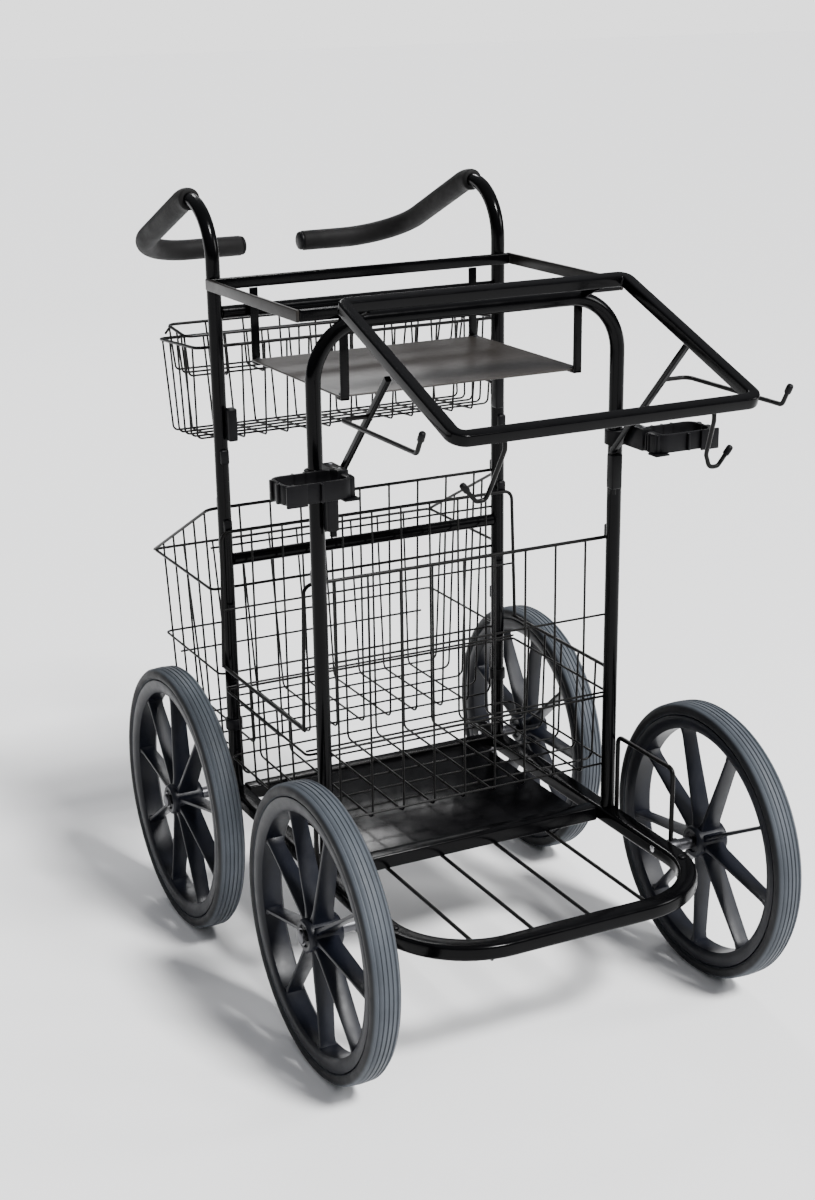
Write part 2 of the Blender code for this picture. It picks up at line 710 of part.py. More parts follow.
def make_hinge_brackets(materials, parts):
    """Plates on the front hoop, each with an eye that the bag frame's rear bar turns in."""
    bend_run = BRACKET_X - (UPRIGHT_X - HOOP_BEND)
    hoop_drop = HOOP_BEND - (HOOP_BEND**2 - bend_run**2) ** 0.5
    hoop = Vector((FRONT_Y, HOOP_TOP_Z - hoop_drop))
    pivot = Vector((BAG_REAR_Y, BAG_REAR_Z))
    toward = pivot - hoop
    lean = Vector((1, 0)).angle_signed(toward) * -1
    saddle = arc_points(hoop, TUBE_RADIUS + 0.001, lean + radians(48), lean - radians(48), 6)
    eye = arc_points(pivot, BRACKET_EYE, lean - radians(95), lean + radians(95), 12)
    tube_reach = (BAG_TUBE_HALF**2 + (BAG_TUBE_HALF - BAG_TUBE_CHAMFER) ** 2) ** 0.5
    hole = arc_points(pivot, tube_reach + 2 * GAP, 0, 2 * pi, 20)[:-1]
    for side, sign in SIDES:
        outlines = [saddle + eye, hole]
        name = f"hinge_bracket_{side}"
        bracket = add_plate(name, outlines, BRACKET_THICKNESS / 2, materials["tube"], parts)
        bracket.matrix_world = yz_plane(sign * BRACKET_X)


# ---------------------------------------------------------------- tool clamps


def clamp_half(side_y):
    """The outline of the rear (+1) or front (-1) half of the clamp, about the clamp's centre."""

    def edge(inset):
        half_x, half_y = CLAMP_HALF_X - inset, side_y * (CLAMP_HALF_Y - inset)
        split = side_y * CLAMP_SPLIT
        corners = [(half_x, split), (half_x, half_y), (-half_x, half_y), (-half_x, split)]
        bend = CLAMP_BEND - inset
        return [tuple(point) for point in rounded_path(corners, [0, bend, bend, 0])]

    return edge(0) + edge(CLAMP_WALL)[::-1]


def make_collar(side, post, half_height, material, cutters):
    """A round collar that turns on a front upright."""
    rings = [
        arc_points((0, 0), COLLAR_OUTER, 0, 2 * pi, 24)[:-1],
        arc_points((0, 0), TUBE_RADIUS + GAP, 0, 2 * pi, 24)[:-1],
    ]
    collar = add_plate(f"collar_{side}", rings, half_height, material, cutters)
    collar.location = post
    return bake_to_mesh(collar, cutters)


def make_arm(side, post, centre, half_height, material, cutters):
    """A bar from the collar to the rear wall of the clamp."""
    away = Vector((centre.x - post.x, centre.y - post.y, 0))
    wall_distance = CLAMP_HALF_Y * away.length / abs(away.y)
    low = (COLLAR_OUTER - ARM_LAP, -ARM_WIDTH / 2, -half_height)
    high = (away.length - wall_distance + ARM_LAP, ARM_WIDTH / 2, half_height)
    arm = add_box(f"arm_{side}", low, high, material, cutters)
    heading = Matrix.Rotation(Vector((1, 0, 0)).rotation_difference(away).to_euler().z, 4, "Z")
    arm.matrix_world = Matrix.Translation(post) @ heading @ Matrix.Translation(arm.location)
    return arm


def make_clamps(materials, parts, cutters):
    """A collar round each front upright carries the rear half of the clamp, and the front half opens."""
    mid_z, half_height = (CLAMP_LOW_Z + CLAMP_HIGH_Z) / 2, (CLAMP_HIGH_Z - CLAMP_LOW_Z) / 2
    arm_z, arm_half = (ARM_LOW_Z + ARM_HIGH_Z) / 2, (ARM_HIGH_Z - ARM_LOW_Z) / 2
    plastic = materials["plastic"]
    for side, sign in SIDES:
        centre = Vector((sign * CLAMP_X, CLAMP_Y, mid_z))
        post = Vector((sign * UPRIGHT_X, FRONT_Y, arm_z))
        bracket = add_plate(f"clamp_bracket_{side}", [clamp_half(1)], half_height, plastic, parts)
        bracket.location = centre
        bracket = bake_to_mesh(bracket, parts)
        collar = make_collar(side, post, arm_half, plastic, cutters)
        arm = make_arm(side, post, centre, arm_half - 0.001, plastic, cutters)
        join_by_union(bracket, [arm, collar])
        jaw = add_plate(f"clamp_jaw_{side}", [clamp_half(-1)], half_height, plastic, parts)
        jaw.location = centre


# ---------------------------------------------------------------- baskets


def add_tub(name, loops, material, collection):
    """An open-topped tub from a floor loop up through its wall loops, each (x, y0, y1, z0, z1).

    x is the half width, y0 and z0 are the front edge, y1 and z1 the rear edge.
    """
    shape = bmesh.new()
    rings = []
    for half_x, front, rear, front_z, rear_z in loops:
        edges = [(-half_x, front, front_z), (half_x, front, front_z)]
        edges += [(half_x, rear, rear_z), (-half_x, rear, rear_z)]
        rings.append([shape.verts.new(corner) for corner in edges])
    shape.faces.new(rings[0][::-1])
    for low, high in zip(rings, rings[1:]):
        for index in range(4):
            other = (index + 1) % 4
            shape.faces.new((low[index], low[other], high[other], high[index]))
    tub = mesh_object(name, shape, material, collection)
    wall = tub.modifiers.new("wall", "SOLIDIFY")
    wall.thickness = WALL
    wall.offset = -1
    wall.use_even_offset = True
    return tub


def make_baskets(materials, parts, cutters):
    for name, loops in TUBS.items():
        add_tub(name, loops, materials["wire"], parts)
    front = parts.objects["front_basket"]
    cutter = add_box("basket_side_cut", SIDE_CUT_LOW, SIDE_CUT_HIGH, None, cutters)
    cut = front.modifiers.new("low_sides", "BOOLEAN")
    cut.operation = "DIFFERENCE"
    cut.solver = "EXACT"
    cut.object = cutter
    cutter.hide_render = True
    cutter.display_type = "WIRE"


# ---------------------------------------------------------------- build


def make_materials():
    return {
        "tube": make_material("black_gloss_paint", (0.012, 0.012, 0.014), 0.28, 0.0),
        "wire": make_material("black_wire_coating", (0.016, 0.015, 0.014), 0.35, 0.0),
        "sheet": make_material("dark_sheet_paint", (0.075, 0.068, 0.062), 0.42, 0.0),
        "foam": make_material("charcoal_foam", (0.030, 0.030, 0.034), 0.85, 0.0),
        "plastic": make_material("black_plastic", (0.014, 0.014, 0.016), 0.50, 0.0),
        "rim": make_material("blue_black_plastic", (0.030, 0.036, 0.055), 0.38, 0.0),
        "tyre": make_material("grey_rubber", (0.140, 0.150, 0.165), 0.60, 0.0),
        "steel": make_material("zinc_steel", (0.45, 0.45, 0.46), 0.35, 1.0),
    }


def main():
    clear_scene()
    parts = new_collection(CART)
    cutters = new_collection("cutters", hidden=True)
    materials = make_materials()
    make_base_loop(materials, parts)
    make_base_bars(materials, parts)
    make_platform_rods(materials, parts)
    make_wheel_guards(materials, parts)
    make_front_hoop(materials, parts)
    make_rear_uprights(materials, parts)
    make_top_frame(materials, parts)
    make_cross_tubes(materials, parts)
    make_shelf(materials, parts)
    make_shelf_hangers(materials, parts)
    make_basket_supports(materials, parts)
    make_hinge_brackets(materials, parts)
    make_bag_frame(materials, parts, cutters)
    make_struts(materials, parts)
    make_hook_rods(materials, parts)
    make_j_hooks(materials, parts)
    make_clamps(materials, parts, cutters)
    make_baskets(materials, parts, cutters)
    make_wheels(materials, parts, cutters)


main()
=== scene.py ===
"""Looks for the four-wheeled utility cart: real wire baskets, ribbed tyres, foam grips and clamps.

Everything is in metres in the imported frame's axes: +Z up, -Y front, +Y rear, X across.
"""

from math import cos, pi, radians, sin, tan

import bmesh
import bpy
from mathutils import Matrix, Vector


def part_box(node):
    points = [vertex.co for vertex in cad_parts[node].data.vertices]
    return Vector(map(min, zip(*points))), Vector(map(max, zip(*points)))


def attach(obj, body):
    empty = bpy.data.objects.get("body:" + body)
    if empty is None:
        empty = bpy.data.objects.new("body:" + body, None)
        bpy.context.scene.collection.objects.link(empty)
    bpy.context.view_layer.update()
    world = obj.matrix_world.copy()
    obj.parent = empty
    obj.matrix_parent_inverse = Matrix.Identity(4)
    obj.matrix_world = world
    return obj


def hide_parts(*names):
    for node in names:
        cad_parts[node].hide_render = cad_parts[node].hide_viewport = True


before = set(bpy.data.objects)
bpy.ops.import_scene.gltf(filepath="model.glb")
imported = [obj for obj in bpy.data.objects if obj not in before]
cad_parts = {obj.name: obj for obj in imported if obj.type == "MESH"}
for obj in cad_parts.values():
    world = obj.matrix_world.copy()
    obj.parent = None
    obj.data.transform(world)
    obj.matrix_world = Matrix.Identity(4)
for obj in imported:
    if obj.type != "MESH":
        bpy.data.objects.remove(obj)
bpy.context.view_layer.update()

SIDES = (("left", -1), ("right", 1))
BEND_STEPS = 10

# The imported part's driving dimensions, as its source states them
UPRIGHT_X, FRONT_Y, REAR_Y = 0.201, -0.152, 0.141
TUBE_RADIUS = 0.009
RAIL_Z, RAIL_HEIGHT, RAIL_WIDTH, RAIL_X = 0.179, 0.019, 0.024, 0.200
RAIL_TOP = RAIL_Z + RAIL_HEIGHT / 2
LOOP_FRONT_Y, LOOP_REAR_Y, LOOP_BEND = -0.4105, 0.190, 0.107
FRONT_AXLE_Y, REAR_AXLE_Y, TRACK_HALF = -0.2775, 0.167, 0.268
AXLE_Z = 0.178 * cos(pi / 36)
HOOP_TOP_Z, HOOP_BEND = 0.8545, 0.068
NECK_Z, NECK_BEND, NECK_DROP = 0.888, 0.070, radians(23.0)
GRIP_CORNER_Y, GRIP_CORNER_BEND = 0.4495, 0.085
GRIP_END_X = {"left": 0.0385, "right": 0.0545}
GRIP_RADIUS, GRIP_START_TURN = 0.014, radians(88.0)
BAG_X, BAG_REAR_Y, BAG_REAR_Z = 0.182, -0.1935, 0.879
BAG_FRONT_Y, BAG_FRONT_Z, BAG_HALF = -0.4565, 0.7830, 0.007
HOOK_ROD_X, HOOK_ROD_Z = 0.222, 0.772
BAG_REAR_BEND, BAG_FRONT_BEND = 0.009, 0.013
CLAMP_X, CLAMP_Y, CLAMP_LOW_Z, CLAMP_HIGH_Z = 0.239, -0.2255, 0.6785, 0.7015
COLLAR_Z = 0.681
KNEE_Y, KNEE_Z, STRUT_TOP_Y, STRUT_TOP_Z, STRUT_FOOT_Z = -0.1680, 0.6675, -0.3165, 0.8205, 0.613

# Sizes of details that only the visual model has
FOOT_GAP = 0.0003
WIRE_PITCH, WIRE_SIDES = 0.0431, 8
THIN_ROD_SIDES, HOOK_SIDES = 12, 14
HOOK_ROD_RADIUS, J_HOOK_RADIUS = 0.0026, 0.0025
SCREW_Z, HANGER_THICK, HANGER_MIDDLE = 0.7669, 0.003, 0.0105
BOLT_X, BOLT_Y, AXLE_END_Z = 0.197, -0.328, 0.181
COLLAR_LOW_Z, CLIP_HALF_X = 0.2805, 0.0055
BOOT_X, BOOT_HALF, BOOT_LOW_Z, BOOT_HIGH_Z = 0.1905, 0.0072, 0.6205, 0.6640
BRACKET_X = 0.148
WHEEL_STEPS, HUB_STEPS, SPOKES = 144, 48, 9
# The tyres' side-wall colour is a painted shade: darker than the tread, to stand in for the shade on the side
# walls.
TREAD_EDGE, WALL_EDGE, SHADED_WALL_COLOUR = 0.0145, 0.0172, (0.0035, 0.0040, 0.0055, 1.0)
SPOKE_STARTS = {"front_left": -3.5, "front_right": 1.7, "rear_left": 17.0, "rear_right": -10.5}


# ---------------------------------------------------------------- materials


def add_node(tree, kind, **settings):
    node = tree.nodes.new(kind)
    for key, value in settings.items():
        if key.startswith("in_"):
            node.inputs[key[3:].replace("_", " ")].default_value = value
        else:
            setattr(node, key, value)
    return node


def noise(tree, scale, detail, rough):
    """A noise pattern fixed to the object's own coordinates, with its scale per metre."""
    coords = add_node(tree, "ShaderNodeTexCoord")
    node = add_node(tree, "ShaderNodeTexNoise", in_Scale=scale, in_Detail=detail, in_Roughness=rough)
    tree.links.new(coords.outputs["Object"], node.inputs["Vector"])
    return node.outputs["Fac"]


def spread(tree, source, low, high, out_low, out_high):
    """Maps the span low to high onto out_low to out_high, and clamps it there."""
    node = add_node(tree, "ShaderNodeMapRange")
    for key, value in (("From Min", low), ("From Max", high), ("To Min", out_low), ("To Max", out_high)):
        node.inputs[key].default_value = value
    tree.links.new(source, node.inputs["Value"])
    return node.outputs["Result"]


def blend_colours(tree, factor, first, second):
    node = add_node(tree, "ShaderNodeMix", data_type="RGBA")
    node.inputs["A"].default_value = (*first, 1.0)
    node.inputs["B"].default_value = (*second, 1.0)
    tree.links.new(factor, node.inputs["Factor"])
    return node.outputs["Result"]


def surface(name, first, second, rough, grain, metallic=0.0, sheen=0.0, specular=0.5):
    """A surface whose colour, roughness and bump all vary.

    rough is (low, high). grain is (scale, strength, depth) of the fine bump.
    """
    made = bpy.data.materials.new(name)
    made.use_nodes = True
    tree = made.node_tree
    shader = tree.nodes["Principled BSDF"]
    shader.inputs["Metallic"].default_value = metallic
    shader.inputs["Sheen Weight"].default_value = sheen
    shader.inputs["Sheen Roughness"].default_value = 0.6
    shader.inputs["Specular IOR Level"].default_value = specular
    patches = noise(tree, 14.0, 5.0, 0.6)
    tree.links.new(
        blend_colours(tree, spread(tree, patches, 0.35, 0.75, 0.0, 1.0), first, second),
        shader.inputs["Base Color"],
    )
    smudges = noise(tree, 45.0, 4.0, 0.65)
    tree.links.new(spread(tree, smudges, 0.3, 0.7, *rough), shader.inputs["Roughness"])
    bump = add_node(tree, "ShaderNodeBump", in_Strength=grain[1], in_Distance=grain[2])
    tree.links.new(noise(tree, grain[0], 2.0, 0.5), bump.inputs["Height"])
    tree.links.new(bump.outputs["Normal"], shader.inputs["Normal"])
    return made


def cell_foam():
    """Closed-cell foam: small pits over a soft unevenness."""
    made = surface(
        "charcoal_foam", (0.0026, 0.0024, 0.0025), (0.0052, 0.0048, 0.0050),
        (0.55, 0.72), (1500, 0.5, 0.0004), sheen=0.02, specular=0.14,
    )
    tree = made.node_tree
    bump = next(node for node in tree.nodes if node.type == "BUMP")
    coords = add_node(tree, "ShaderNodeTexCoord")
    cells = add_node(tree, "ShaderNodeTexVoronoi", in_Scale=1100.0)
    tree.links.new(coords.outputs["Object"], cells.inputs["Vector"])
    pits = add_node(tree, "ShaderNodeBump", in_Strength=0.35, in_Distance=0.0003)
    tree.links.new(cells.outputs["Distance"], pits.inputs["Height"])
    tree.links.new(pits.outputs["Normal"], bump.inputs["Normal"])
    return made


def ribbed_rubber():
    """Grey rubber on the tread, and a painted shade that darkens the side walls, by distance along the
    wheel's own axle.
    """
    made = surface(
        "grey_rubber", (0.046, 0.053, 0.063), (0.072, 0.082, 0.096),
        (0.48, 0.64), (1000, 0.20, 0.0003), specular=0.25,
    )
    tree = made.node_tree
    base = tree.nodes["Principled BSDF"].inputs["Base Color"]
    tread = base.links[0].from_socket
    coords = add_node(tree, "ShaderNodeTexCoord")
    split = add_node(tree, "ShaderNodeSeparateXYZ")
    tree.links.new(coords.outputs["Object"], split.inputs["Vector"])
    across = add_node(tree, "ShaderNodeMath", operation="ABSOLUTE")
    tree.links.new(split.outputs["Z"], across.inputs[0])
    # Past the tread's edge the colour turns to the darker side-wall colour, a painted shade rather than a
    # different rubber.
    side = add_node(tree, "ShaderNodeMix", data_type="RGBA")
    wall_shade_mask = spread(tree, across.outputs["Value"], TREAD_EDGE, WALL_EDGE, 0.0, 1.0)
    tree.links.new(wall_shade_mask, side.inputs["Factor"])
    tree.links.new(tread, side.inputs["A"])
    side.inputs["B"].default_value = SHADED_WALL_COLOUR
    tree.links.new(side.outputs["Result"], base)
    return made


MATERIALS = {
    "paint": surface(
        "gloss_black_powder_coat", (0.0006, 0.0006, 0.0008), (0.0015, 0.0015, 0.0018),
        (0.13, 0.22), (700, 0.06, 0.0004), specular=0.09,
    ),
    "wire": surface(
        "black_wire_coating", (0.0012, 0.0011, 0.0011), (0.0034, 0.0031, 0.0029),
        (0.26, 0.38), (900, 0.08, 0.0003), specular=0.14,
    ),
    "sheet": surface(
        "brown_grey_sheet_paint", (0.019, 0.0160, 0.0142), (0.027, 0.0232, 0.0205),
        (0.30, 0.38), (600, 0.05, 0.0004), specular=0.32,
    ),
    # A warm grey, lighter than the black frame paint: painted light that stands in for the lit faces of the
    # top side rails.
    "rail": surface(
        "bar_paint_with_painted_light", (0.010, 0.0086, 0.0075), (0.0155, 0.0134, 0.0118),
        (0.30, 0.40), (600, 0.05, 0.0004), specular=0.20,
    ),
    "foam": cell_foam(),
    "plastic": surface(
        "moulded_black_plastic", (0.0014, 0.0014, 0.0018), (0.0030, 0.0030, 0.0038),
        (0.34, 0.48), (1300, 0.18, 0.0003), specular=0.12,
    ),
    "rim": surface(
        "blue_black_plastic", (0.0024, 0.0030, 0.0058), (0.0048, 0.0060, 0.0108),
        (0.32, 0.46), (800, 0.10, 0.0004), specular=0.24,
    ),
    "tyre": ribbed_rubber(),
    "steel": surface(
        "dull_zinc", (0.07, 0.07, 0.075), (0.14, 0.14, 0.15),
        (0.30, 0.50), (900, 0.12, 0.0003), metallic=1.0,
    ),
    "bright": surface(
        "bright_zinc", (0.48, 0.48, 0.50), (0.66, 0.66, 0.68),
        (0.22, 0.36), (900, 0.10, 0.0003), metallic=1.0,
    ),
}


# ---------------------------------------------------------------- shapes


def finish_piece(name, shape, finish, body, replaces=(), sharp=38, place=None):
    """Turns a bmesh into a piece with its material, its body and the CAD nodes that it stands for."""
    bmesh.ops.recalc_face_normals(shape, faces=shape.faces)
    mesh = bpy.data.meshes.new(name)
    shape.to_mesh(mesh)
    shape.free()
    mesh.materials.append(MATERIALS[finish])
    mesh.shade_smooth()
    mesh.set_sharp_from_angle(angle=radians(sharp))
    piece = bpy.data.objects.new(name, mesh)
    bpy.context.scene.collection.objects.link(piece)
    if place is not None:
        piece.matrix_world = place
    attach(piece, body)
    if replaces:
        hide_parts(*replaces)
    return piece


def rounded_path(corners, radii, closed=False, steps=BEND_STEPS):
    """Points along straight runs between the corners, with an arc at each corner that has a radius.

    radii is one radius for all corners, or a list of them.
    """
    corners = [Vector(corner) for corner in corners]
    count = len(corners)
    points = []
    for index, corner in enumerate(corners):
        radius = radii[index] if hasattr(radii, "__len__") else radii
        if (not closed and index in (0, count - 1)) or radius == 0:
            points.append(corner)
            continue
        before = (corners[index - 1] - corner).normalized()
        after = (corners[(index + 1) % count] - corner).normalized()
        half_angle = before.angle(after) / 2
        reach = radius / tan(half_angle)
        start, end = corner + before * reach, corner + after * reach
        centre = corner + (before + after).normalized() * (radius / sin(half_angle))
        turn = pi - 2 * half_angle
        for step in range(steps + 1):
            share = step / steps
            arm_a = (start - centre) * sin((1 - share) * turn) / sin(turn)
            arm_b = (end - centre) * sin(share * turn) / sin(turn)
            points.append(centre + arm_a + arm_b)
    return points


def circle(radius, sides):
    """A section's points round a circle."""
    return [(radius * cos(2 * pi * k / sides), radius * sin(2 * pi * k / sides)) for k in range(sides)]


def rounded_box_section(half_x, half_y, radius, steps=4):
    """A section's points round a box with rounded corners."""
    points = []
    for quarter, (sx, sy) in enumerate(((1, 1), (-1, 1), (-1, -1), (1, -1))):
        for step in range(steps + 1):
            angle = (quarter + step / steps) * pi / 2
            x = sx * (half_x - radius) + radius * cos(angle)
            y = sy * (half_y - radius) + radius * sin(angle)
            points.append((x, y))
    return points


def add_sweep(shape, path, section, normal, closed=False, scales=None):
    """Carries a closed section along a path. normal starts as the section's second axis."""
    path = [Vector(point) for point in path]
    count = len(path)
    up = Vector(normal).normalized()
    rings = []
    for index, point in enumerate(path):
        ahead = path[(index + 1) % count] if closed or index + 1 < count else None
        behind = path[index - 1] if closed or index else None
        going = (ahead - point).normalized() if ahead else (point - behind).normalized()
        coming = (point - behind).normalized() if behind else going
        along = (going + coming).normalized()
        across = along.cross(up).normalized()
        up = across.cross(along).normalized()
        stretch = 1.0 / max(along.dot(going), 0.5)
        bend = going - coming
        scale = scales[index] if scales else 1.0
        ring = []
        for a, b in section:
            offset = across * a * scale + up * b * scale
            if bend.length > 1e-4:
                inward = bend.normalized()
                offset += inward * offset.dot(inward) * (stretch - 1.0)
            ring.append(shape.verts.new(point + offset))
        rings.append(ring)
    sides = len(section)
    pairs = list(zip(rings, rings[1:])) + ([(rings[-1], rings[0])] if closed else [])
    for low, high in pairs:
        for k in range(sides):
            shape.faces.new((low[k], low[(k + 1) % sides], high[(k + 1) % sides], high[k]))
    if not closed:
        shape.faces.new(rings[0][::-1])
        shape.faces.new(rings[-1])


def sweep(name, path, section, normal, finish, body, replaces=(), closed=False, scales=None, sharp=38):
    shape = bmesh.new()
    add_sweep(shape, path, section, normal, closed, scales)
    return finish_piece(name, shape, finish, body, replaces, sharp)


def tube(name, path, radius, finish, body, replaces=(), normal=(1, 0, 0.003), sides=24):
    return sweep(name, path, circle(radius, sides), normal, finish, body, replaces, sharp=50)


def add_block(shape, low, high, rounding, segments=3):
    """A block with rounded edges."""
    low, high = Vector(low), Vector(high)
    made = bmesh.ops.create_cube(shape, size=1.0)["verts"]
    for vert in made:
        vert.co = Vector([(low[k] + high[k]) / 2 + vert.co[k] * (high[k] - low[k]) for k in range(3)])
    edges = list(dict.fromkeys(edge for vert in made for edge in vert.link_edges))
    bmesh.ops.bevel(shape, geom=edges, offset=rounding, segments=segments, profile=0.5, affect="EDGES")


def block(name, low, high, rounding, finish, body, replaces=()):
    shape = bmesh.new()
    add_block(shape, low, high, rounding)
    return finish_piece(name, shape, finish, body, replaces)


def block_for(node, rounding, finish, body):
    """A rounded block over the box of one CAD node."""
    low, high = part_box(node)
    return block(f"{node}_look", low, high, rounding, finish, body, (node,))


def add_lathe(shape, profile, steps, closed=True):
    """A solid of revolution about Z, from a section of (radius, height).

    A closed section makes a ring, and an open one is capped flat at both its ends.
    """
    rings = []
    for step in range(steps):
        angle = 2 * pi * step / steps
        rings.append([shape.verts.new((r * cos(angle), r * sin(angle), z)) for r, z in profile])
    count = len(profile)
    for low, high in zip(rings, rings[1:] + rings[:1]):
        for k in range(count if closed else count - 1):
            shape.faces.new((low[k], high[k], high[(k + 1) % count], low[(k + 1) % count]))
    if not closed:
        shape.faces.new([ring[0] for ring in rings])
        shape.faces.new([ring[-1] for ring in rings][::-1])


# ---------------------------------------------------------------- frame


def make_base():
    loop = [
        (-RAIL_X, LOOP_REAR_Y, RAIL_Z),
        (-RAIL_X, LOOP_FRONT_Y, RAIL_Z),
        (RAIL_X, LOOP_FRONT_Y, RAIL_Z),
        (RAIL_X, LOOP_REAR_Y, RAIL_Z),
    ]
    section = rounded_box_section(RAIL_WIDTH / 2, RAIL_HEIGHT / 2, 0.0045)
    path = rounded_path(loop, [0, LOOP_BEND, LOOP_BEND, 0], steps=16)
    sweep("base_loop_look", path, section, (0, 0, 1), "paint", "cart", ("base_loop",))
    for node in ("base_front_bar", "base_rear_bar"):
        block_for(node, 0.0025, "paint", "cart")
    block_for("floor_plate", 0.0006, "paint", "cart")
    for index in range(4):
        node = f"platform_rod_{index + 1}"
        low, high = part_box(node)
        middle = (low + high) / 2
        path = [(middle.x, low.y, middle.z), (middle.x, high.y, middle.z)]
        tube(f"{node}_look", path, (high.x - low.x) / 2, "wire", "cart", (node,), sides=THIN_ROD_SIDES)
    for side, _ in SIDES:
        node = f"wheel_guard_{side}"
        low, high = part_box(node)
        x, radius = (low.x + high.x) / 2, (high.x - low.x) / 2
        corners = [
            (x, high.y - radius, low.z),
            (x, high.y - radius, high.z - radius),
            (x, low.y + radius, high.z - radius),
            (x, low.y + radius, AXLE_Z + 0.0106),
        ]
        path = rounded_path(corners, [0, 0.009, 0.009, 0], steps=6)
        tube(f"{node}_look", path, radius, "wire", "cart", (node,), sides=THIN_ROD_SIDES)


def make_bolts():
    """A dark bolt head on the platform loop at each side, and the axles' bright ends inside the rails."""
    head = [(0.0048, 0.0), (0.0048, 0.0012), (0.0038, 0.0024), (0.0015, 0.0029)]
    end_face = [(0.0043, 0.0), (0.0043, 0.0008), (0.0034, 0.0014), (0.0012, 0.0016)]
    for side, sign in SIDES:
        bolt = bmesh.new()
        add_lathe(bolt, head, 18, closed=False)
        place = Matrix.Translation((sign * BOLT_X, BOLT_Y, RAIL_TOP - 0.0002))
        finish_piece(f"loop_bolt_{side}", bolt, "plastic", "cart", place=place)
        for end, axle_y in (("front", FRONT_AXLE_Y), ("rear", REAR_AXLE_Y)):
            disc = bmesh.new()
            add_lathe(disc, end_face, 20, closed=False)
            inner = sign * (RAIL_X - RAIL_WIDTH / 2 + 0.0001)
            place = Matrix.Translation((inner, axle_y, AXLE_END_Z)) @ Matrix.Rotation(-sign * pi / 2, 4, "Y")
            finish_piece(f"axle_end_{end}_{side}", disc, "bright", "cart", place=place)


def make_hoop():
    foot = RAIL_TOP + FOOT_GAP
    corners = [
        (-UPRIGHT_X, FRONT_Y, foot),
        (-UPRIGHT_X, FRONT_Y, HOOP_TOP_Z),
        (UPRIGHT_X, FRONT_Y, HOOP_TOP_Z),
        (UPRIGHT_X, FRONT_Y, foot),
    ]
    path = rounded_path(corners, [0, HOOP_BEND, HOOP_BEND, 0], steps=16)
    tube("front_hoop_look", path, TUBE_RADIUS, "paint", "cart", ("front_hoop",), normal=(0, 1, 0))


def neck_point(turn):
    """A place on the right gooseneck's bend, after it has turned by that angle."""
    return Vector((UPRIGHT_X, REAR_Y + NECK_BEND * (1 - cos(turn)), NECK_Z + NECK_BEND * sin(turn)))


def make_handles():
    """Rear uprights with their goosenecks, and the foam sleeves and end caps on them."""
    full_turn = pi / 2 + NECK_DROP
    neck_end = neck_point(full_turn)
    corner = Vector((UPRIGHT_X, GRIP_CORNER_Y, neck_end.z - (GRIP_CORNER_Y - neck_end.y) * tan(NECK_DROP)))
    foot = Vector((UPRIGHT_X, REAR_Y, RAIL_TOP + FOOT_GAP))
    neck = [neck_point(full_turn * step / 20) for step in range(20)]
    for side, sign in SIDES:
        flip = Vector((sign, 1, 1))
        end = Vector((GRIP_END_X[side], GRIP_CORNER_Y, corner.z))
        tail = rounded_path([neck_end, corner, end], [0, GRIP_CORNER_BEND, 0], steps=16)
        path = [point * flip for point in [foot] + neck + tail]
        node = f"rear_upright_{side}"
        tube(f"{node}_look", path, TUBE_RADIUS, "paint", "cart", (node,), normal=(sign, 0, 0.001))
        turns = [GRIP_START_TURN + (full_turn - GRIP_START_TURN) * step / 6 for step in range(6)]
        sleeve = [neck_point(turn) for turn in turns] + tail
        first = (sleeve[1] - sleeve[0]).normalized()
        last = (sleeve[-1] - sleeve[-2]).normalized()
        lips = [0.72, 0.90, 0.985]
        steps = [0.0, 0.0006, 0.0022]
        start = [sleeve[0] + first * step for step in steps]
        finish = [sleeve[-1] - last * step for step in reversed(steps)]
        foam_path = [point * flip for point in start + sleeve[1:-1] + finish]
        scales = lips + [1.0] * (len(sleeve) - 2) + lips[::-1]
        grip = sweep(
            f"grip_{side}_look", foam_path, circle(GRIP_RADIUS, 28), (sign, 0, 0.001), "foam", "cart",
            (f"grip_{side}",), scales=scales, sharp=60,
        )
        cap_path = [(sleeve[-1] + last * step) * flip for step in (0.0003, 0.0016, 0.0036, 0.0050)]
        sweep(
            f"grip_cap_{side}_look", cap_path, circle(GRIP_RADIUS - 0.001, 28), (0, 0, 1), "plastic", "cart",
            (f"grip_cap_{side}",), scales=[1.0, 1.0, 0.93, 0.76], sharp=50,
        )


def make_top_frame():
    for node in ("top_front_bar", "top_rear_bar"):
        block_for(node, 0.0014, "paint", "cart")
    # The side rails take the lighter rail colour, which paints in the light on their lit faces.
    for side, _ in SIDES:
        block_for(f"top_side_rail_{side}", 0.0012, "rail", "cart")
    for node in ("rear_upper_tube", "rear_lower_tube"):
        low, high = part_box(node)
        middle = (low + high) / 2
        path = [(low.x, middle.y, middle.z), (high.x, middle.y, middle.z)]
        tube(f"{node}_look", path, (high.z - low.z) / 2, "paint", "cart", (node,), normal=(0, 0, 1))


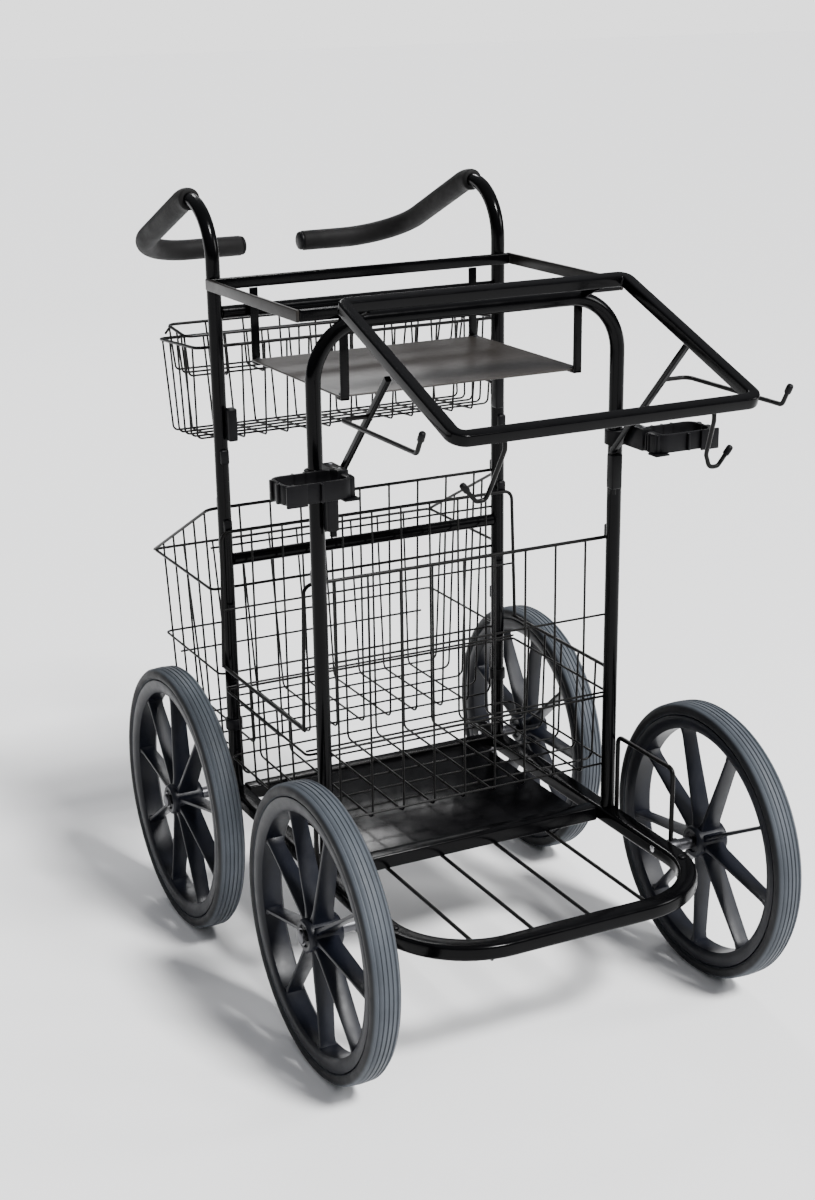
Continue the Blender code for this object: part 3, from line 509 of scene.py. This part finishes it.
def make_shelf():
    """A thin sheet, and the four angle strips that it hangs from, with a screw in each foot."""
    block_for("shelf", 0.0008, "sheet", "cart")
    for end, inward in (("front", 1), ("rear", -1)):
        for side, _ in SIDES:
            node = f"shelf_hanger_{end}_{side}"
            low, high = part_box(node)
            outer = low.y if inward > 0 else high.y
            shape = bmesh.new()
            near, far = outer + inward * HANGER_THICK, outer + inward * (high.y - low.y)
            add_block(shape, (low.x, min(outer, near), low.z), (high.x, max(outer, near), high.z), 0.0008)
            foot_top = low.z + HANGER_THICK
            add_block(shape, (low.x, min(outer, far), low.z), (high.x, max(outer, far), foot_top), 0.0008)
            finish_piece(f"{node}_look", shape, "paint", "cart", (node,))
            screw = bmesh.new()
            add_lathe(screw, [(0.0038, 0.0), (0.0036, 0.0012), (0.0022, 0.0022)], 14, closed=False)
            place = Matrix.Translation(((low.x + high.x) / 2, outer + inward * HANGER_MIDDLE, SCREW_Z))
            bmesh.ops.transform(screw, matrix=place, verts=screw.verts)
            finish_piece(f"shelf_screw_{end}_{side}", screw, "steel", "cart")


def make_clips():
    """Black plastic clips that hold the baskets' rims on the uprights, and collars lower down."""
    for side, sign in SIDES:
        x = sign * UPRIGHT_X
        lower = (0.512, 0.532) if side == "left" else (0.390, 0.408)
        spots = (
            ("front_clip", FRONT_Y, 1, 0.550, 0.568),
            ("inner_clip", REAR_Y, -1, 0.546, 0.563),
            ("outer_clip", REAR_Y, 1, 0.573, 0.589),
            ("lower_clip", REAR_Y, 1, *lower),
            ("upper_clip", REAR_Y, -1, 0.636, 0.655),
        )
        for name, y, facing, low_z, high_z in spots:
            low_y, high_y = sorted(y + facing * (TUBE_RADIUS + step) for step in (-0.0020, 0.0052))
            low, high = (x - CLIP_HALF_X, low_y, low_z), (x + CLIP_HALF_X, high_y, high_z)
            block(f"{name}_{side}", low, high, 0.0024, "plastic", "cart")
        shape = bmesh.new()
        inner = TUBE_RADIUS + 0.0002
        section = [(inner, -0.0075), (0.0108, -0.0075), (0.0114, -0.0065)]
        section += [(radius, -height) for radius, height in reversed(section)]
        add_lathe(shape, section, 28)
        bmesh.ops.translate(shape, vec=(x, REAR_Y, COLLAR_LOW_Z), verts=shape.verts)
        finish_piece(f"upright_collar_{side}", shape, "plastic", "cart")
        block_for(f"basket_support_{side}", 0.0022, "plastic", "cart")


def join_into(shape, other):
    """Adds the other bmesh to the shape, and frees it."""
    mesh = bpy.data.meshes.new("joined")
    other.to_mesh(mesh)
    other.free()
    shape.from_mesh(mesh)
    bpy.data.meshes.remove(mesh)


# ---------------------------------------------------------------- bag frame


def make_bag_frame():
    run, drop = BAG_REAR_Y - BAG_FRONT_Y, BAG_REAR_Z - BAG_FRONT_Z
    up = Vector((0, -drop, run)).normalized()
    corners = [
        (-BAG_X, BAG_REAR_Y, BAG_REAR_Z),
        (BAG_X, BAG_REAR_Y, BAG_REAR_Z),
        (BAG_X, BAG_FRONT_Y, BAG_FRONT_Z),
        (-BAG_X, BAG_FRONT_Y, BAG_FRONT_Z),
    ]
    bends = [BAG_REAR_BEND, BAG_REAR_BEND, BAG_FRONT_BEND, BAG_FRONT_BEND]
    path = rounded_path(corners, bends, closed=True, steps=8)
    section = rounded_box_section(BAG_HALF, BAG_HALF, 0.0024)
    sweep("bag_frame_look", path, section, up, "paint", "bag_frame_assembly", ("bag_frame",), closed=True)
    for side, sign in SIDES:
        make_strut(side, sign)
        make_j_hook(side, sign)


def make_strut(side, sign):
    """A strut with its boot, and the hook rod that runs forward beside the bag frame."""
    body = "bag_frame_assembly"
    node = f"strut_{side}"
    low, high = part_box(node)
    x, half = (low.x + high.x) / 2, (high.x - low.x) / 2
    corners = [(x, STRUT_TOP_Y, STRUT_TOP_Z), (x, KNEE_Y, KNEE_Z), (x, KNEE_Y, STRUT_FOOT_Z)]
    path = rounded_path(corners, [0, 0.004, 0], steps=3)
    sweep(f"{node}_look", path, rounded_box_section(half, half, 0.0010), (1, 0, 0), "paint", body, (node,))
    boot_x = sign * BOOT_X
    boot_low = (boot_x - BOOT_HALF, KNEE_Y - BOOT_HALF, BOOT_LOW_Z)
    boot_high = (boot_x + BOOT_HALF, KNEE_Y + BOOT_HALF, BOOT_HIGH_Z)
    block(f"strut_boot_{side}", boot_low, boot_high, 0.0020, "plastic", body)
    root_y = KNEE_Y + (STRUT_TOP_Y - KNEE_Y) * (HOOK_ROD_Z - KNEE_Z) / (STRUT_TOP_Z - KNEE_Z)
    corners = [
        (x + sign * half, root_y, HOOK_ROD_Z),
        (sign * HOOK_ROD_X, root_y, HOOK_ROD_Z),
        (sign * HOOK_ROD_X, -0.4475, HOOK_ROD_Z),
        (sign * HOOK_ROD_X, -0.4606, 0.795),
    ]
    path = rounded_path(corners, [0, 0.010, 0.007, 0], steps=6)
    node = f"hook_rod_{side}"
    tube(f"{node}_look", path, HOOK_ROD_RADIUS, "wire", body, (node,), sides=HOOK_SIDES)
    add_tip(f"hook_rod_tip_{side}", path, 0.0039)


def make_j_hook(side, sign):
    """A small hook that hangs from the bag frame's front bar."""
    top_z = BAG_FRONT_Z - BAG_HALF * 1.25
    hook = [
        (sign * 0.127, BAG_FRONT_Y, top_z),
        (sign * 0.127, BAG_FRONT_Y, top_z - 0.008),
        (sign * 0.132, BAG_FRONT_Y + 0.019, 0.7255),
        (sign * 0.138, BAG_FRONT_Y + 0.021, 0.7105),
        (sign * 0.149, BAG_FRONT_Y + 0.021, 0.7105),
        (sign * 0.165, BAG_FRONT_Y + 0.021, 0.7300),
    ]
    path = rounded_path(hook, [0, 0.012, 0.012, 0.007, 0.006, 0], steps=4)
    node = f"j_hook_{side}"
    tube(f"{node}_look", path, J_HOOK_RADIUS, "wire", "bag_frame_assembly", (node,), sides=HOOK_SIDES)
    add_tip(f"j_hook_tip_{side}", path, 0.0038)


def add_tip(name, path, radius):
    """A rubber sleeve with a rounded end on the last 10 mm of a rod."""
    end, before = Vector(path[-1]), Vector(path[-2])
    along = (end - before).normalized()
    stops = [end + along * step for step in (-0.0100, -0.0088, -0.0018, 0.0004, 0.0014)]
    sweep(
        name, stops, circle(radius, 16), (0.02, 0.3, 1), "plastic", "bag_frame_assembly",
        scales=[0.86, 1.0, 1.0, 0.86, 0.5], sharp=60,
    )


def make_brackets():
    """Slim plates from the top of the hoop to the underside of the bag frame's rear bar."""
    for side, sign in SIDES:
        x = sign * BRACKET_X
        path = [(x, FRONT_Y - 0.006, 0.8585), (x, BAG_REAR_Y + 0.0055, BAG_REAR_Z - 0.0070)]
        section = rounded_box_section(0.0045, 0.0020, 0.0010)
        node = f"hinge_bracket_{side}"
        sweep(f"{node}_look", path, section, (1, 0, 0), "paint", "cart", (node,))


# ---------------------------------------------------------------- wheels


def tyre_section():
    """Half of the section is listed from the seat over the side wall to the ribbed tread, then mirrored."""
    side = [
        (0.1628, 0.0150), (0.1640, 0.0168), (0.1668, 0.0185),
        (0.1705, 0.0183), (0.1742, 0.0166), (0.1764, 0.0140),
    ]
    ribs = []
    for groove in (0.0110, 0.0055, 0.0):
        crown = 0.1779 - 9.0 * groove**2
        ribs += [(crown, groove + 0.0011), (crown - 0.0014, groove + 0.0005)]
        if groove:
            ribs += [(crown - 0.0014, groove - 0.0005), (crown, groove - 0.0011)]
    upper = side + [(0.1772, 0.0128)] + ribs
    return upper + [(r, -z) for r, z in reversed(upper)]


def rim_section():
    upper = [
        (0.1440, 0.0), (0.1446, 0.0120), (0.1475, 0.0150), (0.1530, 0.0166),
        (0.1590, 0.0170), (0.1615, 0.0160), (0.1624, 0.0140),
    ]
    return upper + [(r, -z) for r, z in reversed(upper[1:])]


def hub_section():
    upper = [
        (0.0068, 0.0185), (0.0120, 0.0190), (0.0135, 0.0215), (0.0175, 0.0220),
        (0.0196, 0.0205), (0.0204, 0.0175), (0.0190, 0.0080),
    ]
    return upper + [(r, -z) for r, z in reversed(upper)]


def add_spoke(shape, angle):
    """A flat blade, deeper at the hub, that flares a little where it meets the rim.

    Each station is its distance from the axle, and half its thickness and depth.
    """
    stations = [
        (0.0165, 0.0052, 0.0150),
        (0.0230, 0.0034, 0.0140),
        (0.0330, 0.0025, 0.0130),
        (0.1000, 0.0021, 0.0108),
        (0.1350, 0.0022, 0.0100),
        (0.1425, 0.0034, 0.0104),
        (0.1455, 0.0050, 0.0110),
    ]
    turn = Matrix.Rotation(angle, 3, "Z")
    rings = []
    for radius, thick, depth in stations:
        outline = rounded_box_section(thick, depth, min(thick * 0.7, 0.0016), 2)
        rings.append([shape.verts.new(turn @ Vector((radius, a, b))) for a, b in outline])
    sides = len(rings[0])
    for low, high in zip(rings, rings[1:]):
        for k in range(sides):
            shape.faces.new((low[k], low[(k + 1) % sides], high[(k + 1) % sides], high[k]))
    shape.faces.new(rings[0][::-1])
    shape.faces.new(rings[-1])


def make_wheels():
    for end, axle_y in (("front", FRONT_AXLE_Y), ("rear", REAR_AXLE_Y)):
        for side, sign in SIDES:
            label = f"{end}_{side}"
            body = f"wheel_{label}"
            place = Matrix.Translation((sign * TRACK_HALF, axle_y, AXLE_Z)) @ Matrix.Rotation(pi / 2, 4, "Y")
            tyre = bmesh.new()
            add_lathe(tyre, tyre_section(), WHEEL_STEPS)
            finish_piece(f"tyre_{label}_look", tyre, "tyre", body, (f"tyre_{label}",), sharp=60, place=place)
            rim = bmesh.new()
            add_lathe(rim, rim_section(), WHEEL_STEPS)
            add_lathe(rim, hub_section(), HUB_STEPS)
            for spoke in range(SPOKES):
                add_spoke(rim, radians(SPOKE_STARTS[label] + 40 * spoke))
            finish_piece(f"rim_{label}_look", rim, "rim", body, (f"rim_{label}",), sharp=40, place=place)
            make_axle(label, sign, axle_y)


def make_axle(label, sign, axle_y):
    """Stub axle: stepped collar at the rail, shaft, washer and domed nut."""
    rail_side, hub_side = 0.2123, TRACK_HALF - 0.023
    nut, end = TRACK_HALF + 0.0228, TRACK_HALF + 0.0280
    profile = [
        (0.0096, rail_side), (0.0100, rail_side + 0.001),
        (0.0100, rail_side + 0.012), (0.0078, rail_side + 0.014),
        (0.0078, hub_side), (0.0060, hub_side + 0.0003),
        (0.0060, nut), (0.0105, nut), (0.0105, nut + 0.001), (0.0085, nut + 0.0012),
        (0.0085, end - 0.0015), (0.0065, end - 0.0003), (0.0030, end),
    ]
    shape = bmesh.new()
    add_lathe(shape, profile, 32, closed=False)
    place = Matrix.Translation((0, axle_y, AXLE_Z)) @ Matrix.Rotation(sign * pi / 2, 4, "Y")
    finish_piece(f"axle_{label}_look", shape, "steel", "cart", (f"axle_{label}",), place=place)


# ---------------------------------------------------------------- tool clamps


def clamp_plan(sign, facing):
    """The centre line of the clamp's rear (+1) or front (-1) half, from its outer end to its inner end."""
    half_x, half_y, split = 0.0396, 0.0237, 0.0012
    corners = [(half_x, split), (half_x, half_y), (-half_x, half_y), (-half_x, split)]
    plan = rounded_path([(x, y, 0) for x, y in corners], [0, 0.0130, 0.0130, 0], steps=8)
    middle = (CLAMP_LOW_Z + CLAMP_HIGH_Z) / 2
    return [Vector((sign * (CLAMP_X + p.x), CLAMP_Y + facing * p.y, middle)) for p in plan]


def add_clamp_block(shape, sign, x_span, y_span, z_steps, rounding):
    """A rounded block, by its distances from the middle plane and its steps past the clamp's own height."""
    near, far = sorted(sign * x for x in x_span)
    low, high = (near, y_span[0], CLAMP_LOW_Z + z_steps[0]), (far, y_span[1], CLAMP_HIGH_Z + z_steps[1])
    add_block(shape, low, high, rounding, segments=2)


def make_clamp_bracket(side, sign):
    """The rear half with its ribs and end lugs, and the arm and collar that carry it on the upright."""
    shape = bmesh.new()
    add_sweep(shape, clamp_plan(sign, 1), rounded_box_section(0.0022, 0.0112, 0.0010, 2), (0, 0, 1))
    for rib_x in (0.222, 0.236, 0.250):
        add_clamp_block(shape, sign, (rib_x - 0.0014, rib_x + 0.0014), (-0.2040, -0.1975), (0, 0), 0.0007)
    add_clamp_block(shape, sign, (0.2770, 0.2832), (-0.2160, -0.2105), (0, 0), 0.0008)
    add_clamp_block(shape, sign, (0.1925, 0.2065), (-0.2238, -0.1810), (-0.001, 0.0030), 0.0018)
    add_clamp_block(shape, sign, (0.1930, 0.2000), (-0.2110, -0.1900), (0.004, -0.004), 0.0014)
    post = Vector((sign * UPRIGHT_X, FRONT_Y, COLLAR_Z))
    away = Vector((sign * CLAMP_X, CLAMP_Y, COLLAR_Z)) - post
    end = post + away * (1 - 0.0285 / away.length) + Vector((0, 0, 0.006))
    start = post + away.normalized() * 0.0105 - Vector((0, 0, 0.002))
    add_sweep(shape, [start, end], rounded_box_section(0.0048, 0.0068, 0.0014, 2), (0, 0, 1))
    collar = bmesh.new()
    section = [(TUBE_RADIUS + 0.0003, -0.009), (0.0127, -0.009), (0.0134, -0.0082)]
    section += [(radius, -height) for radius, height in reversed(section)]
    add_lathe(collar, section, 32)
    bmesh.ops.translate(collar, vec=post, verts=collar.verts)
    join_into(shape, collar)
    body = f"clamp_{side}"
    finish_piece(f"clamp_bracket_{side}_look", shape, "plastic", body, (f"clamp_bracket_{side}",))
    rivet = [(0.0024, 0.0), (0.0024, 0.0006), (0.0016, 0.0013)]
    for index, y in enumerate((-0.2150, -0.1915)):
        head = bmesh.new()
        add_lathe(head, rivet, 16, closed=False)
        place = Matrix.Translation((sign * 0.2000, y, CLAMP_HIGH_Z + 0.0029))
        finish_piece(f"clamp_rivet_{side}_{index + 1}", head, "bright", body, place=place)


def make_clamp_jaw(side, sign):
    """The front half with its ribs, end lugs, teeth and lever."""
    shape = bmesh.new()
    plan = clamp_plan(sign, -1)
    add_sweep(shape, plan, rounded_box_section(0.0022, 0.0112, 0.0010, 2), (0, 0, 1))
    add_clamp_block(shape, sign, (0.2370, 0.2400), (-0.2555, -0.2490), (0.001, -0.001), 0.0008)
    add_clamp_block(shape, sign, (0.2560, 0.2810), (-0.2552, -0.2518), (-0.001, 0.001), 0.0010)
    add_clamp_block(shape, sign, (0.2772, 0.2836), (-0.2345, -0.2285), (0, 0), 0.0009)
    add_clamp_block(shape, sign, (0.2690, 0.2725), (-0.2535, -0.2460), (-0.0005, 0.0005), 0.0009)
    add_clamp_block(shape, sign, (0.1948, 0.2060), (-0.2460, -0.2275), (-0.001, 0.0005), 0.0024)
    for tooth in range(5):
        x = 0.1950 + 0.00060 * tooth**1.6
        y = CLAMP_Y - 0.0045 - 0.0040 * tooth
        x_span, y_span = (x - 0.0022, x + 0.0020), (y - 0.0013, y + 0.0013)
        add_clamp_block(shape, sign, x_span, y_span, (0.001, -0.001), 0.0006)
    lever_top = CLAMP_LOW_Z - CLAMP_HIGH_Z + 0.0002
    add_clamp_block(shape, sign, (0.1925, 0.2120), (-0.2540, -0.2360), (-0.0022, lever_top), 0.0007)
    finish_piece(f"clamp_jaw_{side}_look", shape, "plastic", f"jaw_{side}", (f"clamp_jaw_{side}",))


def make_clamps():
    for side, sign in SIDES:
        make_clamp_bracket(side, sign)
        make_clamp_jaw(side, sign)


# ---------------------------------------------------------------- wire baskets


class Wires:
    """Collects the wires of one basket into one piece."""

    def __init__(self, name, body, node):
        self.name, self.body, self.node = name, body, node
        self.shape = bmesh.new()

    def run(self, corners, radius=0.0015, bend=0.008, closed=False):
        radii = bend if closed else [0] + [bend] * (len(corners) - 2) + [0]
        path = rounded_path(corners, radii, closed, steps=5)
        normal = Vector((0.013, 0.021, 1.0))
        first = (Vector(path[1]) - Vector(path[0])).normalized()
        if abs(first.dot(normal.normalized())) > 0.9:
            normal = Vector((1.0, 0.017, 0.013))
        add_sweep(self.shape, path, circle(radius, WIRE_SIDES), normal, closed)

    def done(self):
        return finish_piece(self.name, self.shape, "wire", self.body, (self.node,), sharp=60)


def ring(half_x, front, rear, z):
    return [(-half_x, front, z), (half_x, front, z), (half_x, rear, z), (-half_x, rear, z)]


def spaced(low, high, pitch):
    """Evenly spaced places across a span, close to the pitch, without its two ends."""
    count = max(1, round((high - low) / pitch))
    return [low + (high - low) * k / count for k in range(1, count)]


def make_front_basket():
    w = Wires("front_basket_wires", "front_basket_body", "front_basket")
    front, rear, floor = -0.1345, 0.1235, 0.2315
    rim_x, corner_x, side_x, foot_x = 0.2133, 0.2190, 0.2175, 0.2140
    rim, side_top, ring_z = 0.5490, 0.3680, 0.3355
    outline = ((-corner_x, side_top), (-rim_x, rim), (rim_x, rim), (corner_x, side_top))
    for wall, inward in ((front, 1), (rear, -1)):
        w.run([(x, wall, z) for x, z in outline], 0.0024, 0.012)
        for z in (0.4460, 0.3400):
            w.run([(-0.2160, wall + inward * 0.002, z), (0.2160, wall + inward * 0.002, z)])
    for sign in (-1, 1):
        w.run([(sign * side_x, front, side_top), (sign * side_x, rear, side_top)], 0.0024)
        for y in spaced(front, rear, WIRE_PITCH):
            w.run([(sign * side_x, y, side_top), (sign * foot_x, y, floor), (0, y, floor)], bend=0.010)
    w.run(ring(0.2160, front, rear, ring_z), 0.0017, 0.006, closed=True)
    w.run(ring(foot_x - 0.001, front, rear, floor + 0.010), 0.0015, 0.010, closed=True)
    for index in range(-4, 5):
        x, y_low, y_high, foot = index * WIRE_PITCH, front + 0.001, rear - 0.001, floor + 0.003
        w.run([(x, y_low, rim), (x, y_low, foot), (x, y_high, foot), (x, y_high, rim)])
    w.done()


def make_rear_basket():
    w = Wires("rear_basket_wires", "rear_basket_body", "rear_basket")
    front, rear_top, top_x, front_top, rim = 0.1575, 0.3765, 0.2170, 0.5726, 0.4640
    floor, floor_x, floor_front, floor_rear = 0.2365, 0.2055, 0.1610, 0.3490
    top_front = [(-top_x, front, front_top), (top_x, front, front_top)]
    w.run([(-top_x, rear_top, rim), *top_front, (top_x, rear_top, rim)], 0.0022, 0.012)
    w.run(ring(top_x, front, rear_top, rim), 0.0020, 0.008, closed=True)
    w.run(ring(0.2112, front + 0.001, 0.3640, 0.3450), 0.0016, 0.008, closed=True)
    w.run([(-0.1925, 0.3600, 0.3130), (0.1925, 0.3600, 0.3130)])
    w.run([(-0.2150, front + 0.002, 0.5200), (0.2150, front + 0.002, 0.5200)])
    for x in spaced(-top_x, top_x, 0.0435):
        foot_x = x * floor_x / top_x
        feet = [(foot_x, floor_front, floor), (foot_x, floor_rear, floor)]
        w.run([(x, front, front_top), *feet, (x, rear_top, rim)], bend=0.010)
    for index in range(5):
        y = 0.1720 + 0.0414 * index
        top_z = front_top + (rim - front_top) * (y - front) / (rear_top - front)
        feet = [(-floor_x, y, floor + 0.003), (floor_x, y, floor + 0.003)]
        w.run([(-top_x, y, top_z), *feet, (top_x, y, top_z)], bend=0.010)
    w.done()


def make_upper_basket():
    """The basket hangs a little low at the rear."""
    w = Wires("upper_basket_wires", "upper_basket_body", "upper_basket")
    front_rim, rear_rim = Vector((0.2175, 0.1694, 0.7790)), Vector((0.2175, 0.3064, 0.7703))
    front_foot, rear_foot = Vector((0.2135, 0.1800, 0.6560)), Vector((0.2135, 0.2905, 0.6488))
    flip = Vector((-1, 1, 1))
    w.run([front_rim * flip, front_rim, rear_rim, rear_rim * flip], 0.0022, 0.010, closed=True)
    for share in spaced(-1.0, 1.0, 0.0304 / front_rim.x):
        across = Vector((share, 1, 1))
        w.run([front_rim * across, front_foot * across, rear_foot * across, rear_rim * across], 0.0014, 0.005)
    for share in (0.1, 0.3, 0.5, 0.7, 0.9):
        rim = front_rim.lerp(rear_rim, share)
        foot = front_foot.lerp(rear_foot, share) + Vector((0, 0, 0.003))
        w.run([rim * flip, foot * flip, foot, rim], 0.0014, 0.007)
    for sign in (-1, 1):
        x = sign * 0.1885
        w.run([(x, 0.1755, 0.7000), (x, 0.1345, 0.7000), (x, 0.1345, 0.6840)], 0.0018, 0.004)
    w.done()


def make_tray():
    """A narrow tray that hangs inside the upper basket from its side rims, a little low at the front."""
    w = Wires("tray_wires", "tray_body", "tray")
    front_rim, rear_rim = Vector((0.2115, 0.2220, 0.7850)), Vector((0.2115, 0.2870, 0.7912))
    front_foot, rear_foot = Vector((0.2050, 0.2275, 0.7290)), Vector((0.2050, 0.2860, 0.7295))
    flip = Vector((-1, 1, 1))
    w.run([front_rim * flip, front_rim, rear_rim, rear_rim * flip], 0.0021, 0.010, closed=True)
    for share in spaced(-1.0, 1.0, 0.0535 / front_rim.x):
        across = Vector((share, 1, 1))
        w.run([front_rim * across, front_foot * across, rear_foot * across, rear_rim * across], 0.0014, 0.006)
    for share in (0.08, 0.5, 0.92):
        rim = front_rim.lerp(rear_rim, share)
        foot = front_foot.lerp(rear_foot, share) + Vector((0, 0, 0.003))
        w.run([rim * flip, foot * flip, foot, rim], 0.0014, 0.006)
    for sign in (-1, 1):
        for share in (0.15, 0.85):
            rim = front_rim.lerp(rear_rim, share) * Vector((sign, 1, 1))
            w.run([rim, rim + Vector((sign * 0.0075, 0, -0.0030 - 0.0070 * share))], 0.0016)
    w.done()


# ---------------------------------------------------------------- studio


SKY_LOW, SKY_HIGH = (0.04, 0.04, 0.043), (0.62, 0.63, 0.66)
BACKDROP = (1.98, 1.98, 1.98)
CAMERA_TURN = (0.4533, 0.3412, -0.0188)
CAMERA_PLACE = (-1.0696, -2.1129, 1.2201)
LENS, SENSOR = 58.044, 36.0
SHIFT_X, SHIFT_Y = 0.0166, 0.04975

# Name, place, target, strength and angular width in degrees
SUNS = (
    ("front_sun", (0.7, -2.0, 3.0), (0, 0, 0.5), 6.8, 12.0),
    ("rear_sun", (0.8, 2.4, 2.6), (0, 0, 0.5), 0.6, 10.0),
)

# Name, place, target, width, height and power
STRIPS = (
    ("right_softbox", (2.4, -1.6, 1.9), (0, 0, 0.5), 0.8, 0.8, 40.0),
    ("rear_strip", (1.2, 4.2, 2.5), (0, 0, 0.6), 2.4, 0.35, 14.0),
)


def make_floor():
    mesh = bpy.data.meshes.new("studio_floor")
    mesh.from_pydata([(-30, -30, 0), (30, -30, 0), (30, 30, 0), (-30, 30, 0)], [], [(0, 1, 2, 3)])
    floor = bpy.data.objects.new("studio_floor", mesh)
    bpy.context.scene.collection.objects.link(floor)
    made = bpy.data.materials.new("pale_floor")
    made.use_nodes = True
    shader = made.node_tree.nodes["Principled BSDF"]
    shader.inputs["Base Color"].default_value = (0.90, 0.90, 0.90, 1.0)
    shader.inputs["Roughness"].default_value = 0.75
    shader.inputs["Specular IOR Level"].default_value = 0.15
    mesh.materials.append(made)


def aim(obj, place, target):
    """Puts a light in its place, with its beam towards the target."""
    obj.location = place
    obj.rotation_euler = (Vector(target) - Vector(place)).to_track_quat("-Z", "Y").to_euler()


def make_world():
    """A soft sky, dark towards the horizon, behind which the camera sees the floor's own pale shade."""
    world = bpy.data.worlds.new("studio")
    world.use_nodes = True
    tree = world.node_tree
    background = tree.nodes["Background"]
    coords = add_node(tree, "ShaderNodeTexCoord")
    split = add_node(tree, "ShaderNodeSeparateXYZ")
    tree.links.new(coords.outputs["Generated"], split.inputs["Vector"])
    height = spread(tree, split.outputs["Z"], 0.05, 0.95, 0.0, 1.0)
    sky = blend_colours(tree, height, SKY_LOW, SKY_HIGH)
    seen = add_node(tree, "ShaderNodeLightPath")
    shade = add_node(tree, "ShaderNodeMix", data_type="RGBA")
    tree.links.new(seen.outputs["Is Camera Ray"], shade.inputs["Factor"])
    tree.links.new(sky, shade.inputs["A"])
    shade.inputs["B"].default_value = (*BACKDROP, 1.0)
    tree.links.new(shade.outputs["Result"], background.inputs["Color"])
    bpy.context.scene.world = world


def make_lights():
    """Two wide suns light the floor evenly, and two strips add narrow highlights along the tubes."""
    for name, place, target, strength, width in SUNS:
        light = bpy.data.lights.new(name, "SUN")
        light.energy = strength
        light.angle = radians(width)
        lamp = bpy.data.objects.new(name, light)
        bpy.context.scene.collection.objects.link(lamp)
        aim(lamp, place, target)
    for name, place, target, width, height, power in STRIPS:
        light = bpy.data.lights.new(name, "AREA")
        light.shape = "RECTANGLE"
        light.size, light.size_y = width, height
        light.energy = power
        lamp = bpy.data.objects.new(name, light)
        bpy.context.scene.collection.objects.link(lamp)
        aim(lamp, place, target)


def make_camera():
    yaw, pitch, roll = CAMERA_TURN
    forward = Vector((sin(yaw) * cos(pitch), cos(yaw) * cos(pitch), -sin(pitch)))
    right = Vector((cos(yaw), -sin(yaw), 0))
    up = right.cross(forward)
    rolled_right = right * cos(roll) + up * sin(roll)
    rolled_up = up * cos(roll) - right * sin(roll)
    camera = bpy.data.cameras.new("camera")
    camera.lens, camera.sensor_width = LENS, SENSOR
    camera.shift_x, camera.shift_y = SHIFT_X, SHIFT_Y
    camera.clip_end = 100.0
    holder = bpy.data.objects.new("camera", camera)
    bpy.context.scene.collection.objects.link(holder)
    place = Matrix((rolled_right, rolled_up, -forward)).transposed().to_4x4()
    place.translation = Vector(CAMERA_PLACE)
    holder.matrix_world = place
    bpy.context.scene.camera = holder


def main():
    make_base()
    make_bolts()
    make_hoop()
    make_handles()
    make_top_frame()
    make_shelf()
    make_clips()
    make_bag_frame()
    make_brackets()
    make_wheels()
    make_clamps()
    make_front_basket()
    make_rear_basket()
    make_upper_basket()
    make_tray()
    make_floor()
    make_world()
    make_lights()
    make_camera()


main()
